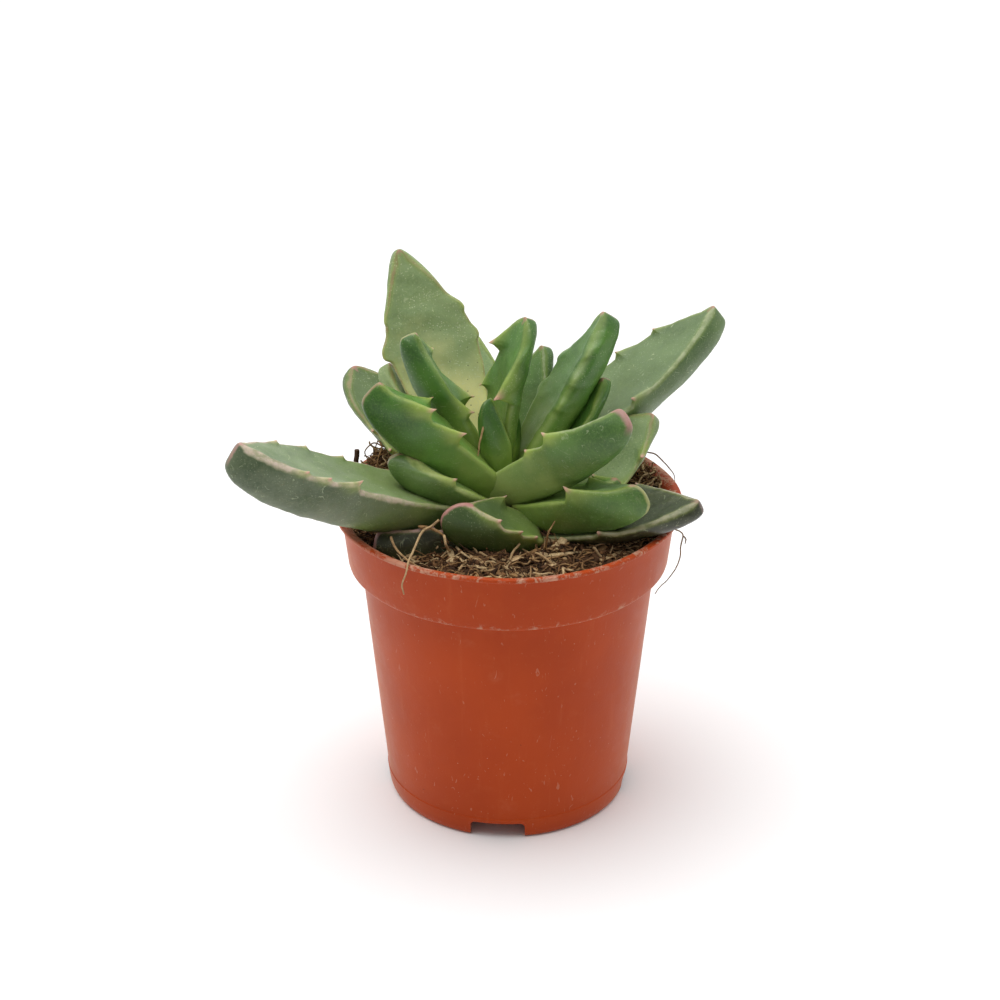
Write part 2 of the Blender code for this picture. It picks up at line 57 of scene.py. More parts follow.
# Pot, radii and heights from the table up
POT_HEIGHT = 50.8
LIP_RADIUS = 27.5
LIP_INNER_RADIUS = 26.6
LIP_THICKNESS = 0.6
COLLAR_TOP_RADIUS = 26.45
COLLAR_FOOT_RADIUS = 25.35
COLLAR_FOOT_HEIGHT = 40.9
BODY_TOP_RADIUS = 23.4
BODY_FOOT_RADIUS = 19.37
WALL = 0.9
FOOT_BEND_HEIGHT = 1.2
FOOT_EDGE = (19.25, 0.35)
FOOT_RING_RADIUS = 18.8
FOOT_RING_INNER_RADIUS = 17.9
FLOOR_UNDERSIDE = 3.0
FLOOR_TOP = 4.0
MOULDING_LINE_HEIGHT = 3.6
MOULDING_LINE_DEPTH = 0.09
NOTCHES = 4
NOTCH_WIDTH = 8.7
NOTCH_HEIGHT = 2.9
NOTCH_ROUND = 0.8
FIRST_NOTCH_AZIMUTH = 265
DRAIN_HOLE_RADIUS = 1.7
DRAIN_RING_RADIUS = 13.0
POT_STEPS = 288
POT_WARP = 0.11

# Soil. A heap is (x, y, rise, spread)
SOIL_LEVEL = 48.3
SOIL_CROWN_RISE = 1.7
SOIL_CROWN_SPREAD = 14.0
SOIL_HEAPS = ((-18.5, 11.5, 4.6, 5.5), (20.0, 10.0, 2.2, 6.0), (-17.0, -14.0, -1.3, 5.0),
              (1.0, -12.5, -0.9, 4.5))
SOIL_LUMP_RISE = 0.9
SOIL_LUMP_SIZE = 3.4
SOIL_RIM = 25.35
SOIL_GAP = 0.3
SOIL_STEPS = 240
SOIL_RINGS = 66

# Leaf: sizes in millimetres, angles in degrees, teeth as (place from base to tip, length)
Leaf = namedtuple(
    "Leaf",
    "name base azimuth rise roll bend length width depth chin left_teeth right_teeth "
    "widest point base_width", defaults=((), (), 0.55, 1.7, 0.66))

LEAVES = (
    Leaf("leaf_centre_front", (-0.8, -0.8, 56.0), 212, 82, 18, -4, 13.3, 5.8, 3.3, 0.1,
         widest=0.4, point=1.6),
    Leaf("leaf_centre_back", (-0.6, 1.3, 56.0), 32, 88, 0, 0, 9.0, 4.8, 2.6, 0.0,
         widest=0.4, point=1.6),
    Leaf("leaf_right_front", (-2.4, 0.6, 53.4), 324, 39, -15, 0, 29.7, 9.3, 6.8, 1.4,
         right_teeth=((0.63, 1.6), (0.46, 0.8)), base_width=1.1),
    Leaf("leaf_left_mid", (0.5, -1.2, 54.3), 198.5, 50, -6, -13.5, 28.8, 9.0, 7.6, 0.6,
         left_teeth=((0.75, 2.1), (0.55, 2.1)), right_teeth=((0.67, 1.6),)),
    Leaf("leaf_left_up", (-1.0, 2.6, 54.2), 176, 60.5, 14, 0, 26.8, 9.0, 5.0, 0.5,
         left_teeth=((0.5, 1.5),), right_teeth=((0.86, 1.0), (0.5, 2.4))),
    Leaf("leaf_right_centre", (-0.8, 1.2, 53.8), 21, 62.5, -7, -10, 30.8, 10.8, 5.8, 0.2,
         left_teeth=((0.68, 0.8), (0.5, 1.2)),
         right_teeth=((0.78, 0.8), (0.64, 0.8), (0.5, 0.8)), point=1.9),
    Leaf("leaf_back_centre", (-2.2, 3.0, 54.5), 42, 96, -24, -32, 26.5, 11.6, 3.5, 0.0,
         left_teeth=((0.79, 2.2), (0.5, 1.4)), right_teeth=((0.62, 2.8),), point=2.8,
         base_width=0.85),
    Leaf("leaf_back_tall", (-4.6, 4.4, 53.5), 125.2, 53, -24, 6, 37.5, 14.2, 5.0, 0.3,
         left_teeth=((0.74, 0.7), (0.61, 1.6)), right_teeth=((0.7, 0.9), (0.57, 0.8)),
         widest=0.6, point=1.4, base_width=0.3),
    Leaf("leaf_far_right", (1.0, 6.3, 51.6), 18, 38.5, 1, -3, 41.8, 14.6, 7.0, 0.1,
         left_teeth=((0.78, 0.8), (0.62, 1.0), (0.45, 1.2)),
         right_teeth=((0.55, 1.2), (0.42, 1.2)), point=1.9),
    Leaf("leaf_left_small", (-2.5, -3.4, 53.0), 195.5, 35, 0, -2, 14.6, 9.6, 5.6, 3.6,
         left_teeth=((0.66, 1.2),), right_teeth=((0.86, 1.3),), point=3.2),
    Leaf("leaf_far_left", (-6.0, -2.0, 51.8), 210, 22.5, -5, 6.5, 43.0, 12.8, 8.4, 0.4,
         left_teeth=((0.78, 0.7), (0.7, 0.8), (0.6, 1.7)),
         right_teeth=((0.8, 0.6), (0.66, 0.5), (0.5, 0.6)), point=2.9),
    Leaf("leaf_back_right", (-0.5, 7.0, 51.8), 43, 72, -6, -7, 21.5, 9.0, 3.4, 0.0,
         left_teeth=((0.6, 1.2),), right_teeth=((0.7, 0.6), (0.45, 1.2))),
    Leaf("leaf_right_behind", (3.5, 1.5, 52.2), 14, 56.5, 7.5, 0, 20.9, 8.0, 2.8, 0.3,
         left_teeth=((0.6, 1.0),), right_teeth=((0.6, 1.0),)),
    Leaf("leaf_right_low", (2.0, -4.0, 52.6), 325, 22, 0, 0, 21.8, 7.9, 6.8, 2.1,
         left_teeth=((0.55, 1.2),), right_teeth=((0.63, 2.2),)),
    Leaf("leaf_right_shadow", (3.0, -3.2, 51.6), 358, 10, 0, 16, 14.5, 7.2, 3.0, 0.5,
         left_teeth=((0.8, 1.2),), right_teeth=((0.8, 1.0), (0.5, 1.2))),
    Leaf("leaf_right_mid", (4.5, -1.9, 50.4), 19, 29.5, 24, 14, 23.3, 12.2, 3.4, 0.0,
         left_teeth=((0.6, 1.2), (0.4, 1.2)), right_teeth=((0.78, 1.0), (0.54, 1.6)),
         widest=0.6, point=1.5),
    Leaf("leaf_far_right_low", (3.5, -4.0, 48.7), 340, 17, 9.5, 0, 28.2, 13.3, 4.4, 0.2,
         left_teeth=((0.6, 0.8), (0.42, 1.0)), right_teeth=((0.5, 0.8),)),
    Leaf("leaf_front", (5.0, -9.5, 50.0), 199, 28, -14, 2, 13.1, 8.3, 7.8, 2.8,
         left_teeth=((0.74, 1.3), (0.46, 1.3), (0.2, 0.9)), right_teeth=((0.55, 1.5),)),
    Leaf("leaf_low_left", (-3.0, -8.0, 49.0), 190, 6, 29, 0, 16.9, 8.6, 6.8, 1.2,
         left_teeth=((0.6, 0.8),), right_teeth=((0.5, 0.8),)),
    Leaf("leaf_back_left", (-5.0, 4.5, 52.2), 146, 35, 17.5, 14, 23.3, 7.3, 3.8, 0.2,
         left_teeth=((0.55, 1.0),), right_teeth=((0.6, 1.0), (0.4, 1.2)), widest=0.65),
    Leaf("leaf_left_back", (-6.5, 4.0, 50.0), 136.8, 25.4, -1, 8, 29.2, 11.3, 4.4, 0.3,
         left_teeth=((0.6, 0.8), (0.45, 1.2)), right_teeth=((0.62, 1.0),),
         widest=0.65, point=3.0),
    Leaf("leaf_back_tip", (1.0, 7.5, 51.0), 90, 48, 0, 0, 23.6, 8.4, 4.2, 0.3,
         left_teeth=((0.6, 1.0),), right_teeth=((0.6, 1.0),)),
    Leaf("leaf_back_low", (-1.6, 9.0, 50.2), 100, 35.5, 1.5, 2, 27.0, 8.4, 4.2, 0.3,
         left_teeth=((0.66, 1.0),), right_teeth=((0.68, 0.8),)),
)

# Shape shared by all the leaves, as shares of their sizes
KEEL_TURN = 0.6
CHIN_TURN = 0.72
CHIN_HEIGHT = 0.42
BASE_DEPTH = 0.75
CHANNEL_DEPTH = 0.10
KEEL_SHARPNESS = 0.45

# Fine form of a leaf, in millimetres
MARGIN_ROUND = 0.5
SOFT_MARGINS = {"leaf_right_centre": 1.5, "leaf_left_mid": 0.9, "leaf_left_small": 0.8,
                "leaf_back_centre": 1.0, "leaf_left_up": 1.0, "leaf_centre_front": 0.7,
                "leaf_far_left": 0.65, "leaf_front": 0.6, "leaf_right_front": 0.6,
                "leaf_back_tall": 0.34, "leaf_back_right": 0.34, "leaf_right_mid": 0.34}
KEEL_ROUND = 0.75
ROUND_LIMIT = 0.45
TOOTH_GROWTH = 1.35
MARGIN_BEAD = 0.07
BEAD_REACH = 0.42
TIP_ROUND = 0.28
TIP_FADE = 1.2
STATION_STEP = 0.34
TOOTH_STATION_STEP = 0.08
TOOTH_STATION_REACH = 0.8
TIP_STATIONS = (0.02, 0.06, 0.13, 0.23, 0.36, 0.52, 0.72, 0.95)
SKIN_RELIEF = ((7.0, 0.11), (2.4, 0.035), (0.9, 0.012))

# Tooth: shares of its length that go out, up over the face and back to the base
TOOTH_LEAN = (0.1, 0.85, 0.55)
LOBE_LEAN = (0.75, 0.25, 0.3)
FLAT_LEAN = (0.7, 0.35, 0.45)
# Slopes and width of a tooth's flap, each a plain part and a part for every millimetre of tooth
LONG_SLOPE = (1.2, 1.2)
SHORT_SLOPE = (0.8, 0.5)
FLAP_WIDTH = (0.55, 0.35)
LOBE_SLOPE = (0.7, 0.5)
LOBE_WIDTH = 1.1
SPINE_REACH = 0.22
SPINE_WIDTH = 0.24
SPINE_MOST = 0.55
FLAT_TOOTHED = ("leaf_right_mid", "leaf_back_right", "leaf_left_back", "leaf_back_left")
LOBED_LEAVES = ("leaf_back_tall", "leaf_right_centre")

# Camera: place from the pot's axis, how far it looks down, and its lens on a 36 mm frame
CAMERA_PLACE = (-1.273, -359.2, 227.8)
CAMERA_PITCH = 26.26
CAMERA_LENS = 91.54
SENSOR = 36.0
PICTURE = 1000

# Search along a line of sight for the soil, and how high a laid strand's middle is over it
SIGHT_NEAREST = -26.0
SIGHT_STEP = 0.1
SIGHT_STEPS = 560
LAID_LIFT = 0.35


def feed(tree, node, inputs):
    """Feed a node's inputs from sockets or plain values."""
    for key, value in inputs.items():
        if isinstance(value, bpy.types.NodeSocket):
            tree.links.new(value, node.inputs[key])
        else:
            node.inputs[key].default_value = value


def wire(tree, kind, inputs=None, **settings):
    """Add a node, set what it is, and feed its inputs."""
    node = tree.nodes.new(kind)
    for key, value in settings.items():
        setattr(node, key, value)
    feed(tree, node, inputs or {})
    return node


def made(tree, kind, inputs=None, out=0, **settings):
    """Add a node as wire does, and return one of its outputs."""
    return wire(tree, kind, inputs, **settings).outputs[out]


def reckon(tree, operation, first, second=0.0, third=0.0):
    """One step of arithmetic on sockets or plain numbers."""
    return made(tree, "ShaderNodeMath", {0: first, 1: second, 2: third}, operation=operation)


def paint(red, green, blue):
    """A shader colour from the everyday 0 to 255 kind."""
    shares = [value / 255 for value in (red, green, blue)]
    return tuple(s / 12.92 if s <= 0.04045 else ((s + 0.055) / 1.055) ** 2.4 for s in shares) + (1.0,)


class Finish:
    """The nodes of one material, laid coat on coat. Sizes are millimetres of the object's own space."""

    def __init__(self, name, ground):
        self.material = bpy.data.materials.new(name)
        self.material.use_nodes = True
        self.tree = self.material.node_tree
        self.place = made(self.tree, "ShaderNodeTexCoord", out="Object")
        self.colour = paint(*ground)

    def grain(self, size, detail=2.0, rough=0.5, swirl=0.0, stretch=None):
        """Smooth noise, about 0.5, with lumps of one size."""
        place = self.place
        if stretch:
            place = made(self.tree, "ShaderNodeMapping", {"Vector": place, "Scale": stretch})
        return made(self.tree, "ShaderNodeTexNoise",
                    {"Vector": place, "Scale": 1 / (size * MM), "Detail": detail, "Roughness": rough,
                     "Distortion": swirl}, "Fac")

    def spots(self, size, reach, share):
        """Small round spots, one in some of the cells of a size, each 1 at its middle."""
        cells = wire(self.tree, "ShaderNodeTexVoronoi", {"Vector": self.place, "Scale": 1 / (size * MM)})
        inside = self.slide(cells.outputs["Distance"], reach, reach * 0.4)
        chance = made(self.tree, "ShaderNodeSeparateColor", {"Color": cells.outputs["Color"]}, "Red")
        return self.both(inside, reckon(self.tree, "LESS_THAN", chance, share))

    def slide(self, value, start, end, low=0.0, high=1.0):
        """Ease from low to high while a value goes from start to end."""
        return made(self.tree, "ShaderNodeMapRange", {0: value, 1: start, 2: end, 3: low, 4: high},
                    interpolation_type="SMOOTHSTEP")

    def both(self, first, second):
        return reckon(self.tree, "MULTIPLY", first, second)

    def plus(self, first, second):
        return reckon(self.tree, "ADD", first, second)

    def most(self, first, second):
        return reckon(self.tree, "MAXIMUM", first, second)

    def read(self, attribute):
        return made(self.tree, "ShaderNodeAttribute", out="Fac", attribute_name=attribute)

    def ruler(self, axis):
        """Place along an axis of the frame, in millimetres."""
        return self.both(made(self.tree, "ShaderNodeSeparateXYZ", {"Vector": self.place}, axis), 1 / MM)

    def coat(self, share, tone):
        """Lay a colour over what is there, by a share."""
        self.colour = made(self.tree, "ShaderNodeMix", {0: share, 6: self.colour, 7: paint(*tone)}, 2,
                           data_type="RGBA")

    def done(self, roughness, relief, relief_depth, specular=0.5, more=None):
        """Join colour, gloss and relief to the shader, with what else is set on its own sockets."""
        bump = made(self.tree, "ShaderNodeBump",
                    {"Strength": 1.0, "Distance": relief_depth * MM, "Height": relief})
        feed(self.tree, self.tree.nodes["Principled BSDF"],
             {"Base Color": self.colour, "Roughness": roughness, "Specular IOR Level": specular,
              "Normal": bump, **(more or {})})
        return self.material


def placed(points):
    """Millimetres about the pot's axis to metres in the frame."""
    return np.asarray(points, float) * MM + np.array(POT_AXIS)


def link(thing):
    bpy.context.scene.collection.objects.link(thing)
    return thing


def shell(name, points, faces, attributes=None):
    """A smooth mesh from points in millimetres about the pot's axis."""
    mesh = bpy.data.meshes.new(name)
    mesh.from_pydata(placed(points).tolist(), [], faces)
    for key, values in (attributes or {}).items():
        layer = mesh.attributes.new(key, "FLOAT", "POINT")
        layer.data.foreach_set("value", np.asarray(values, np.float32).ravel())
    mesh.shade_smooth()
    mesh.validate()
    return mesh


def ring_faces(rings, count):
    """Faces between rings of points that run anticlockwise, each ring inside or above the last."""
    low = np.arange(rings - 1)[:, None] * count + np.arange(count)
    after = np.arange(rings - 1)[:, None] * count + (np.arange(count) + 1) % count
    return np.stack((low, after, after + count, low + count), -1).reshape(-1, 4).tolist()


def settled(thing):
    """The plain mesh that a piece's modifiers make. The modifiers are then removed."""
    bpy.context.view_layer.update()
    evaluated = thing.evaluated_get(bpy.context.evaluated_depsgraph_get())
    mesh = bpy.data.meshes.new_from_object(evaluated)
    thing.modifiers.clear()
    return mesh


def attach(thing, material, slot, *nodes):
    """Give a piece its finish and place in the object, and what it replaces. The slot is not used."""
    thing.data.materials.clear()
    thing.data.materials.append(material)
    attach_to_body(thing, "root")
    if nodes:
        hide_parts(*nodes)


def ripple(points, wavelength, seed):
    """Gentle seeded lumps, about -1 to 1, at points in millimetres."""
    draw = np.random.default_rng(seed)
    total = np.zeros(points.shape[:-1])
    for _ in range(9):
        heading = draw.normal(size=3)
        heading *= 2 * pi / wavelength * draw.uniform(0.6, 1.5) / np.linalg.norm(heading)
        total += np.sin(points @ heading + draw.uniform(0, 2 * pi))
    return total / 3.5


# Leaves

def leaf_axes(leaf):
    """Unit vectors along the leaf, to its left-hand margin, and out of its upper face."""
    turn = radians(leaf.azimuth)
    tilt = radians(leaf.rise)
    along = np.array((cos(tilt) * cos(turn), cos(tilt) * sin(turn), sin(tilt)))
    up = np.array((-sin(tilt) * cos(turn), -sin(tilt) * sin(turn), cos(tilt)))
    left = np.cross(up, along)
    roll = radians(leaf.roll)
    return along, cos(roll) * left + sin(roll) * up, cos(roll) * up - sin(roll) * left


def half_width(leaf, t):
    """Half the upper face's width at t, from 0 at the base to 1 at the rounded tip."""
    base = leaf.base_width + (1 - leaf.base_width) * np.sin(pi / 2 * t / leaf.widest)
    past = np.clip((t - leaf.widest) / (1 - leaf.widest), 0, 1)
    half = leaf.width / 2 * np.where(t < leaf.widest, base, 1 - past ** leaf.point)
    left_over = leaf.length * (1 - t)
    return np.sqrt(half ** 2 + 2 * TIP_ROUND * left_over * np.exp(-left_over / TIP_FADE))


def keel(leaf, t):
    """Distance along the leaf and depth of the keel, which swells to a chin at the tip."""
    swell = np.sin(pi / 2 * np.clip(t / KEEL_TURN, 0, 1))
    plain_depth = leaf.depth * (BASE_DEPTH + (1 - BASE_DEPTH) * swell)
    start = leaf.length * KEEL_TURN
    share = np.clip((t - KEEL_TURN) / (1 - KEEL_TURN), 0, 1)
    turn = pi / 2 * np.clip(share / CHIN_TURN, 0, 1)
    reach = leaf.length + leaf.chin - start
    under_depth = leaf.depth * (CHIN_HEIGHT + (1 - CHIN_HEIGHT) * np.cos(turn))
    nose = pi / 2 * np.clip((share - CHIN_TURN) / (1 - CHIN_TURN), 0, 1)
    distance = np.where(share < CHIN_TURN, start + reach * np.sin(turn),
                        leaf.length + leaf.chin * np.cos(nose))
    depth = np.where(share < CHIN_TURN, under_depth,
                     leaf.depth * CHIN_HEIGHT * (1 - np.sin(nose)))
    before = t < KEEL_TURN
    return np.where(before, leaf.length * t, distance), np.where(before, plain_depth, depth)


def leaf_place(leaf, distance, side, height):
    """Points in space from distance along the bent midline, side and height."""
    along, left, up = leaf_axes(leaf)
    distance = np.asarray(distance, float)[..., None]
    side = np.asarray(side, float)[..., None]
    height = np.asarray(height, float)[..., None]
    lean = radians(leaf.bend) * distance / leaf.length
    if leaf.bend:
        radius = leaf.length / radians(leaf.bend)
        midline = radius * (np.sin(lean) * along + (1 - np.cos(lean)) * up)
    else:
        midline = distance * along
    normal = np.cos(lean) * up - np.sin(lean) * along
    return np.array(leaf.base) + midline + side * left + height * normal


def leaf_stations(leaf):
    """Places of the cross-sections, from 0 to 1, close together at teeth and at the tip."""
    places = [leaf.length - left_over for left_over in TIP_STATIONS]
    places += list(np.arange(0, leaf.length - TIP_STATIONS[-1] - 0.1, STATION_STEP))
    near_tooth = np.arange(-TOOTH_STATION_REACH, TOOTH_STATION_REACH, TOOTH_STATION_STEP)
    for t, _ in leaf.left_teeth + leaf.right_teeth:
        places += list(t * leaf.length + near_tooth)
    places = sorted(place for place in places if place >= 0)
    kept = [places[0]]
    for place in places[1:]:
        if place - kept[-1] > TOOTH_STATION_STEP / 2:
            kept.append(place)
    return np.array(kept)[:, None] / leaf.length


def ring_layout():
    """Kind of every ring point, its side, and its place: an angle, a share down or across."""
    arc = [90.0, 74.0, 58.0, 45.0, 30.0, 15.0, 0.0]
    flank = [k / 32 + (1 - cos(pi * k / 16)) / 4 for k in range(1, 16)]
    across = [sin(pi / 2 * k / 10) ** 0.85 for k in range(0, 10)]
    face = [-value for value in reversed(across[1:])] + across
    ring = [("arc", 1, angle) for angle in reversed(arc[:4])]
    ring += [("flank", 1, value) for value in flank] + [("flank", 1, 1.0)]
    ring += [("flank", -1, value) for value in reversed(flank)]
    ring += [("arc", -1, angle) for angle in arc]
    ring += [("face", 0, value) for value in face]
    ring += [("arc", 1, angle) for angle in reversed(arc[4:])]
    kinds = np.array([part[0] for part in ring])
    return kinds, np.array([part[1] for part in ring], float), np.array([part[2] for part in ring])


def by_length(parts, length):
    """A size that grows with a tooth's length."""
    return parts[0] + parts[1] * length


def tooth_field(leaf, teeth, t, margin):
    """Height of the teeth of one margin over every point, and how near each is to a tip.

    A tooth is a flap with a long slope towards the leaf's tip and a short one towards its base,
    and a thin spine on top. A lobe is a rounded flap with no spine.
    """
    total = np.zeros(np.broadcast(t, margin).shape)
    closeness = np.zeros_like(total)
    for place, length in teeth:
        past = (t - place) * leaf.length
        if leaf.name in LOBED_LEAVES:
            rise = np.exp(-np.abs(past / by_length(LOBE_SLOPE, length)) ** 3)
            rise = rise * np.exp(-(margin / LOBE_WIDTH) ** 2)
            total = total + length * rise
            closeness = np.maximum(closeness, 0.3 * rise * np.exp(-(margin / 0.4) ** 2))
            continue
        length = TOOTH_GROWTH * length
        reach = np.where(past > 0, by_length(LONG_SLOPE, length), by_length(SHORT_SLOPE, length))
        slope = np.clip(1 - np.abs(past) / reach, 0, 1) ** 1.15
        flap = slope * np.exp(-(margin / by_length(FLAP_WIDTH, length)) ** 1.5)
        spine = np.exp(-(past / SPINE_REACH) ** 2) * np.exp(-(margin / SPINE_WIDTH) ** 2)
        spine_length = min(SPINE_MOST, max(0.05, 0.36 * (length - 0.7)))
        rise = (length - spine_length) * flap + spine_length * spine
        total = total + rise
        closeness = np.maximum(closeness, rise / length)
    return total, closeness


def leaf_mesh(leaf, seed):
    """Fine closed mesh of one leaf, with what its skin needs to know at every point."""
    t = leaf_stations(leaf)
    kinds, side, value = ring_layout()
    is_arc, is_flank, is_face = kinds == "arc", kinds == "flank", kinds == "face"
    half = half_width(leaf, t)
    keel_distance, depth = keel(leaf, t)
    sharp = 1 + KEEL_SHARPNESS * t
    round_off = SOFT_MARGINS.get(leaf.name, MARGIN_ROUND)
    round_off = np.minimum(round_off, np.minimum(ROUND_LIMIT * half, ROUND_LIMIT * depth + 1e-4))
    start = np.arcsin(np.clip((round_off / (depth + 1e-6)) ** (1 / sharp), 0, 0.98))
    edge = half * np.cos(start) ** sharp
    angle = np.radians(value)
    turn = start + (pi / 2 - start) * value
    across, down = np.maximum(np.cos(turn), 0) ** sharp, np.sin(turn) ** sharp
    blunt = np.minimum(KEEL_ROUND, 0.4 * half)
    across = np.sqrt((across * (np.hypot(half, blunt) - blunt) + blunt) ** 2 - blunt ** 2) / half
    sunk = CHANNEL_DEPTH * half * (1 - t) * (1 - np.abs(value) ** 3)
    sideways = np.where(is_arc, side * (edge - round_off + round_off * np.sin(angle)),
                        np.where(is_flank, side * half * across, (edge - round_off) * value))
    height = np.where(is_arc, -round_off + round_off * np.cos(angle),
                      np.where(is_flank, -depth * down, -sunk))
    shift = np.where(is_face, 0.0, -height / (depth + 1e-6))
    distance = leaf.length * t + (keel_distance - leaf.length * t) * shift

    power = 2 / sharp - 1
    flank_out = (np.abs(sideways) / half) ** power / half
    flank_down = (np.abs(height) / (depth + 1e-6)) ** power / (depth + 1e-6)
    steep = np.hypot(flank_out, flank_down) + 1e-9
    out = np.where(is_arc, side * np.sin(angle), np.where(is_flank, side * flank_out / steep, 0.0))
    up = np.where(is_arc, np.cos(angle), np.where(is_flank, -flank_down / steep, 1.0))

    over_edge = round_off * pi / 4
    margin_own = np.where(is_arc, round_off * np.abs(angle - pi / 4),
                          over_edge + np.hypot(np.abs(sideways) - edge, height + round_off))
    margin = {}
    for hand in (1, -1):
        across_face = over_edge + (edge - round_off) * (1 - hand * value)
        margin[hand] = np.where(is_face, across_face, np.where(side == hand, margin_own, 99.0))
    nearest = np.minimum(margin[1], margin[-1])
    keel_line = np.hypot(sideways, height + depth)

    left_rise, left_close = tooth_field(leaf, leaf.left_teeth, t, margin[1])
    right_rise, right_close = tooth_field(leaf, leaf.right_teeth, t, margin[-1])
    rise = left_rise + right_rise
    lean = FLAT_LEAN if leaf.name in FLAT_TOOTHED else TOOTH_LEAN
    out_share, up_share, back_share = LOBE_LEAN if leaf.name in LOBED_LEAVES else lean
    local = np.stack(np.broadcast_arrays(distance, sideways, height), -1)
    fade = np.clip(leaf.length * (1 - t) / 3, 0.15, 1)
    skin = sum(size * ripple(local, wavelength, seed + step)
               for step, (wavelength, size) in enumerate(SKIN_RELIEF)) * fade
    skin = skin + MARGIN_BEAD * np.exp(-(nearest / BEAD_REACH) ** 2) * np.clip(half, 0, 1)
    distance = distance - back_share * rise
    sideways = sideways + out_share * (left_rise - right_rise) + skin * out
    height = height + up_share * rise + skin * up
    points = leaf_place(leaf, distance, sideways, height).reshape(-1, 3)

    tip = leaf_place(leaf, leaf.length, 0.0, 0.0)
    foot = leaf_place(leaf, 0.0, 0.0, -depth[0, 0] / 2)
    rings, count = len(t), len(side)
    faces = [(low, ahead, ahead_after, after)
             for low, after, ahead_after, ahead in ring_faces(rings, count)]
    last = (rings - 1) * count
    for step in range(count):
        faces.append((last + step, rings * count, last + (step + 1) % count))
        faces.append((step, (step + 1) % count, rings * count + 1))
    grid = (rings, count)
    attributes = {
        "margin": (nearest, 0.0, 9.0),
        "keel": (keel_line, 0.0, 9.0),
        "along": (np.broadcast_to(t, grid), 1.0, 0.0),
        "from_tip": (np.broadcast_to(leaf.length * (1 - t), grid), 0.0, 9.0),
        "face": (np.broadcast_to(is_face.astype(float), grid), 0.5, 0.0),
        "tooth": (np.maximum(left_close, right_close), 0.0, 0.0),
    }
    flat = {key: np.append(np.broadcast_to(values, grid).ravel(), (at_tip, at_foot))
            for key, (values, at_tip, at_foot) in attributes.items()}
    return shell(leaf.name, np.vstack((points, tip, foot)), faces, flat)


# Skin: what differs from leaf to leaf. Colours are mostly the skin's own: the black laid on the flanks is
# painted shade, the glow at the base is partly painted light through the flesh, the waxy coat on the upper
# face is partly a painted sheen, and SHADED is a darker copy for leaves in shade.
# rim and nose are the widths, in millimetres, of the pale lines along the margins and the chin
WHITISH = (176, 182, 146)
CREAM = (190, 180, 134)
TAN = (168, 132, 104)
PINK = (186, 130, 124)
LIME_GREEN = (150, 166, 84)
# Waxy bloom of the upper face, partly a painted sheen of the light from above
BLOOM_AND_SHEEN = (150, 172, 124)
YELLOW_GREEN = (172, 190, 92)
# Darker brown for the very base of each leaf
BASE_DARK_BROWN = (84, 72, 40)
DUST = (160, 158, 124)
PALE_DOT = (196, 206, 164)
DARK_DOT = (44, 50, 26)
RUSSET = (112, 84, 50)
TOOTH_TIP = (206, 156, 140)
# Painted shade: black laid over the leaves' flanks
FLANK_SHADE_BLACK = (0, 0, 0)
Skin = namedtuple("Skin", "deep light bloom yellow glow flank rim rim_tone rim_share nose nose_tone "
                          "blush pale dark russet dust gloss")
YOUNG = Skin(deep=(50, 96, 22), light=(86, 134, 46), bloom=0.12, yellow=0.6, glow=(150, 174, 84),
             flank=0.24, rim=0.16, rim_tone=LIME_GREEN, rim_share=0.5, nose=0.3, nose_tone=TAN,
             blush=0.7, pale=0.25, dark=0.3, russet=0.1, dust=0.05, gloss=0.42)
GROWN = YOUNG._replace(deep=(62, 100, 34), light=(102, 142, 62), bloom=0.25, yellow=0.6,
                       rim_tone=WHITISH, rim_share=0.5, pale=0.35, russet=0.25, dust=0.12)
OLD = GROWN._replace(deep=(76, 106, 48), light=(120, 146, 84), bloom=0.4, yellow=0.4, flank=0.12,
                     rim=0.12, rim_tone=TAN, rim_share=0.45, pale=0.6, dark=0.5, russet=0.5, dust=0.2,
                     gloss=0.48)
# Painted shade: a darker copy of the old skin for leaves that lie in shade
SHADED = OLD._replace(deep=(36, 42, 22), light=(66, 70, 42), bloom=0.1, yellow=0.0, pale=0.3, dark=0.5,
                      russet=0.3, dust=0.4, gloss=0.34)

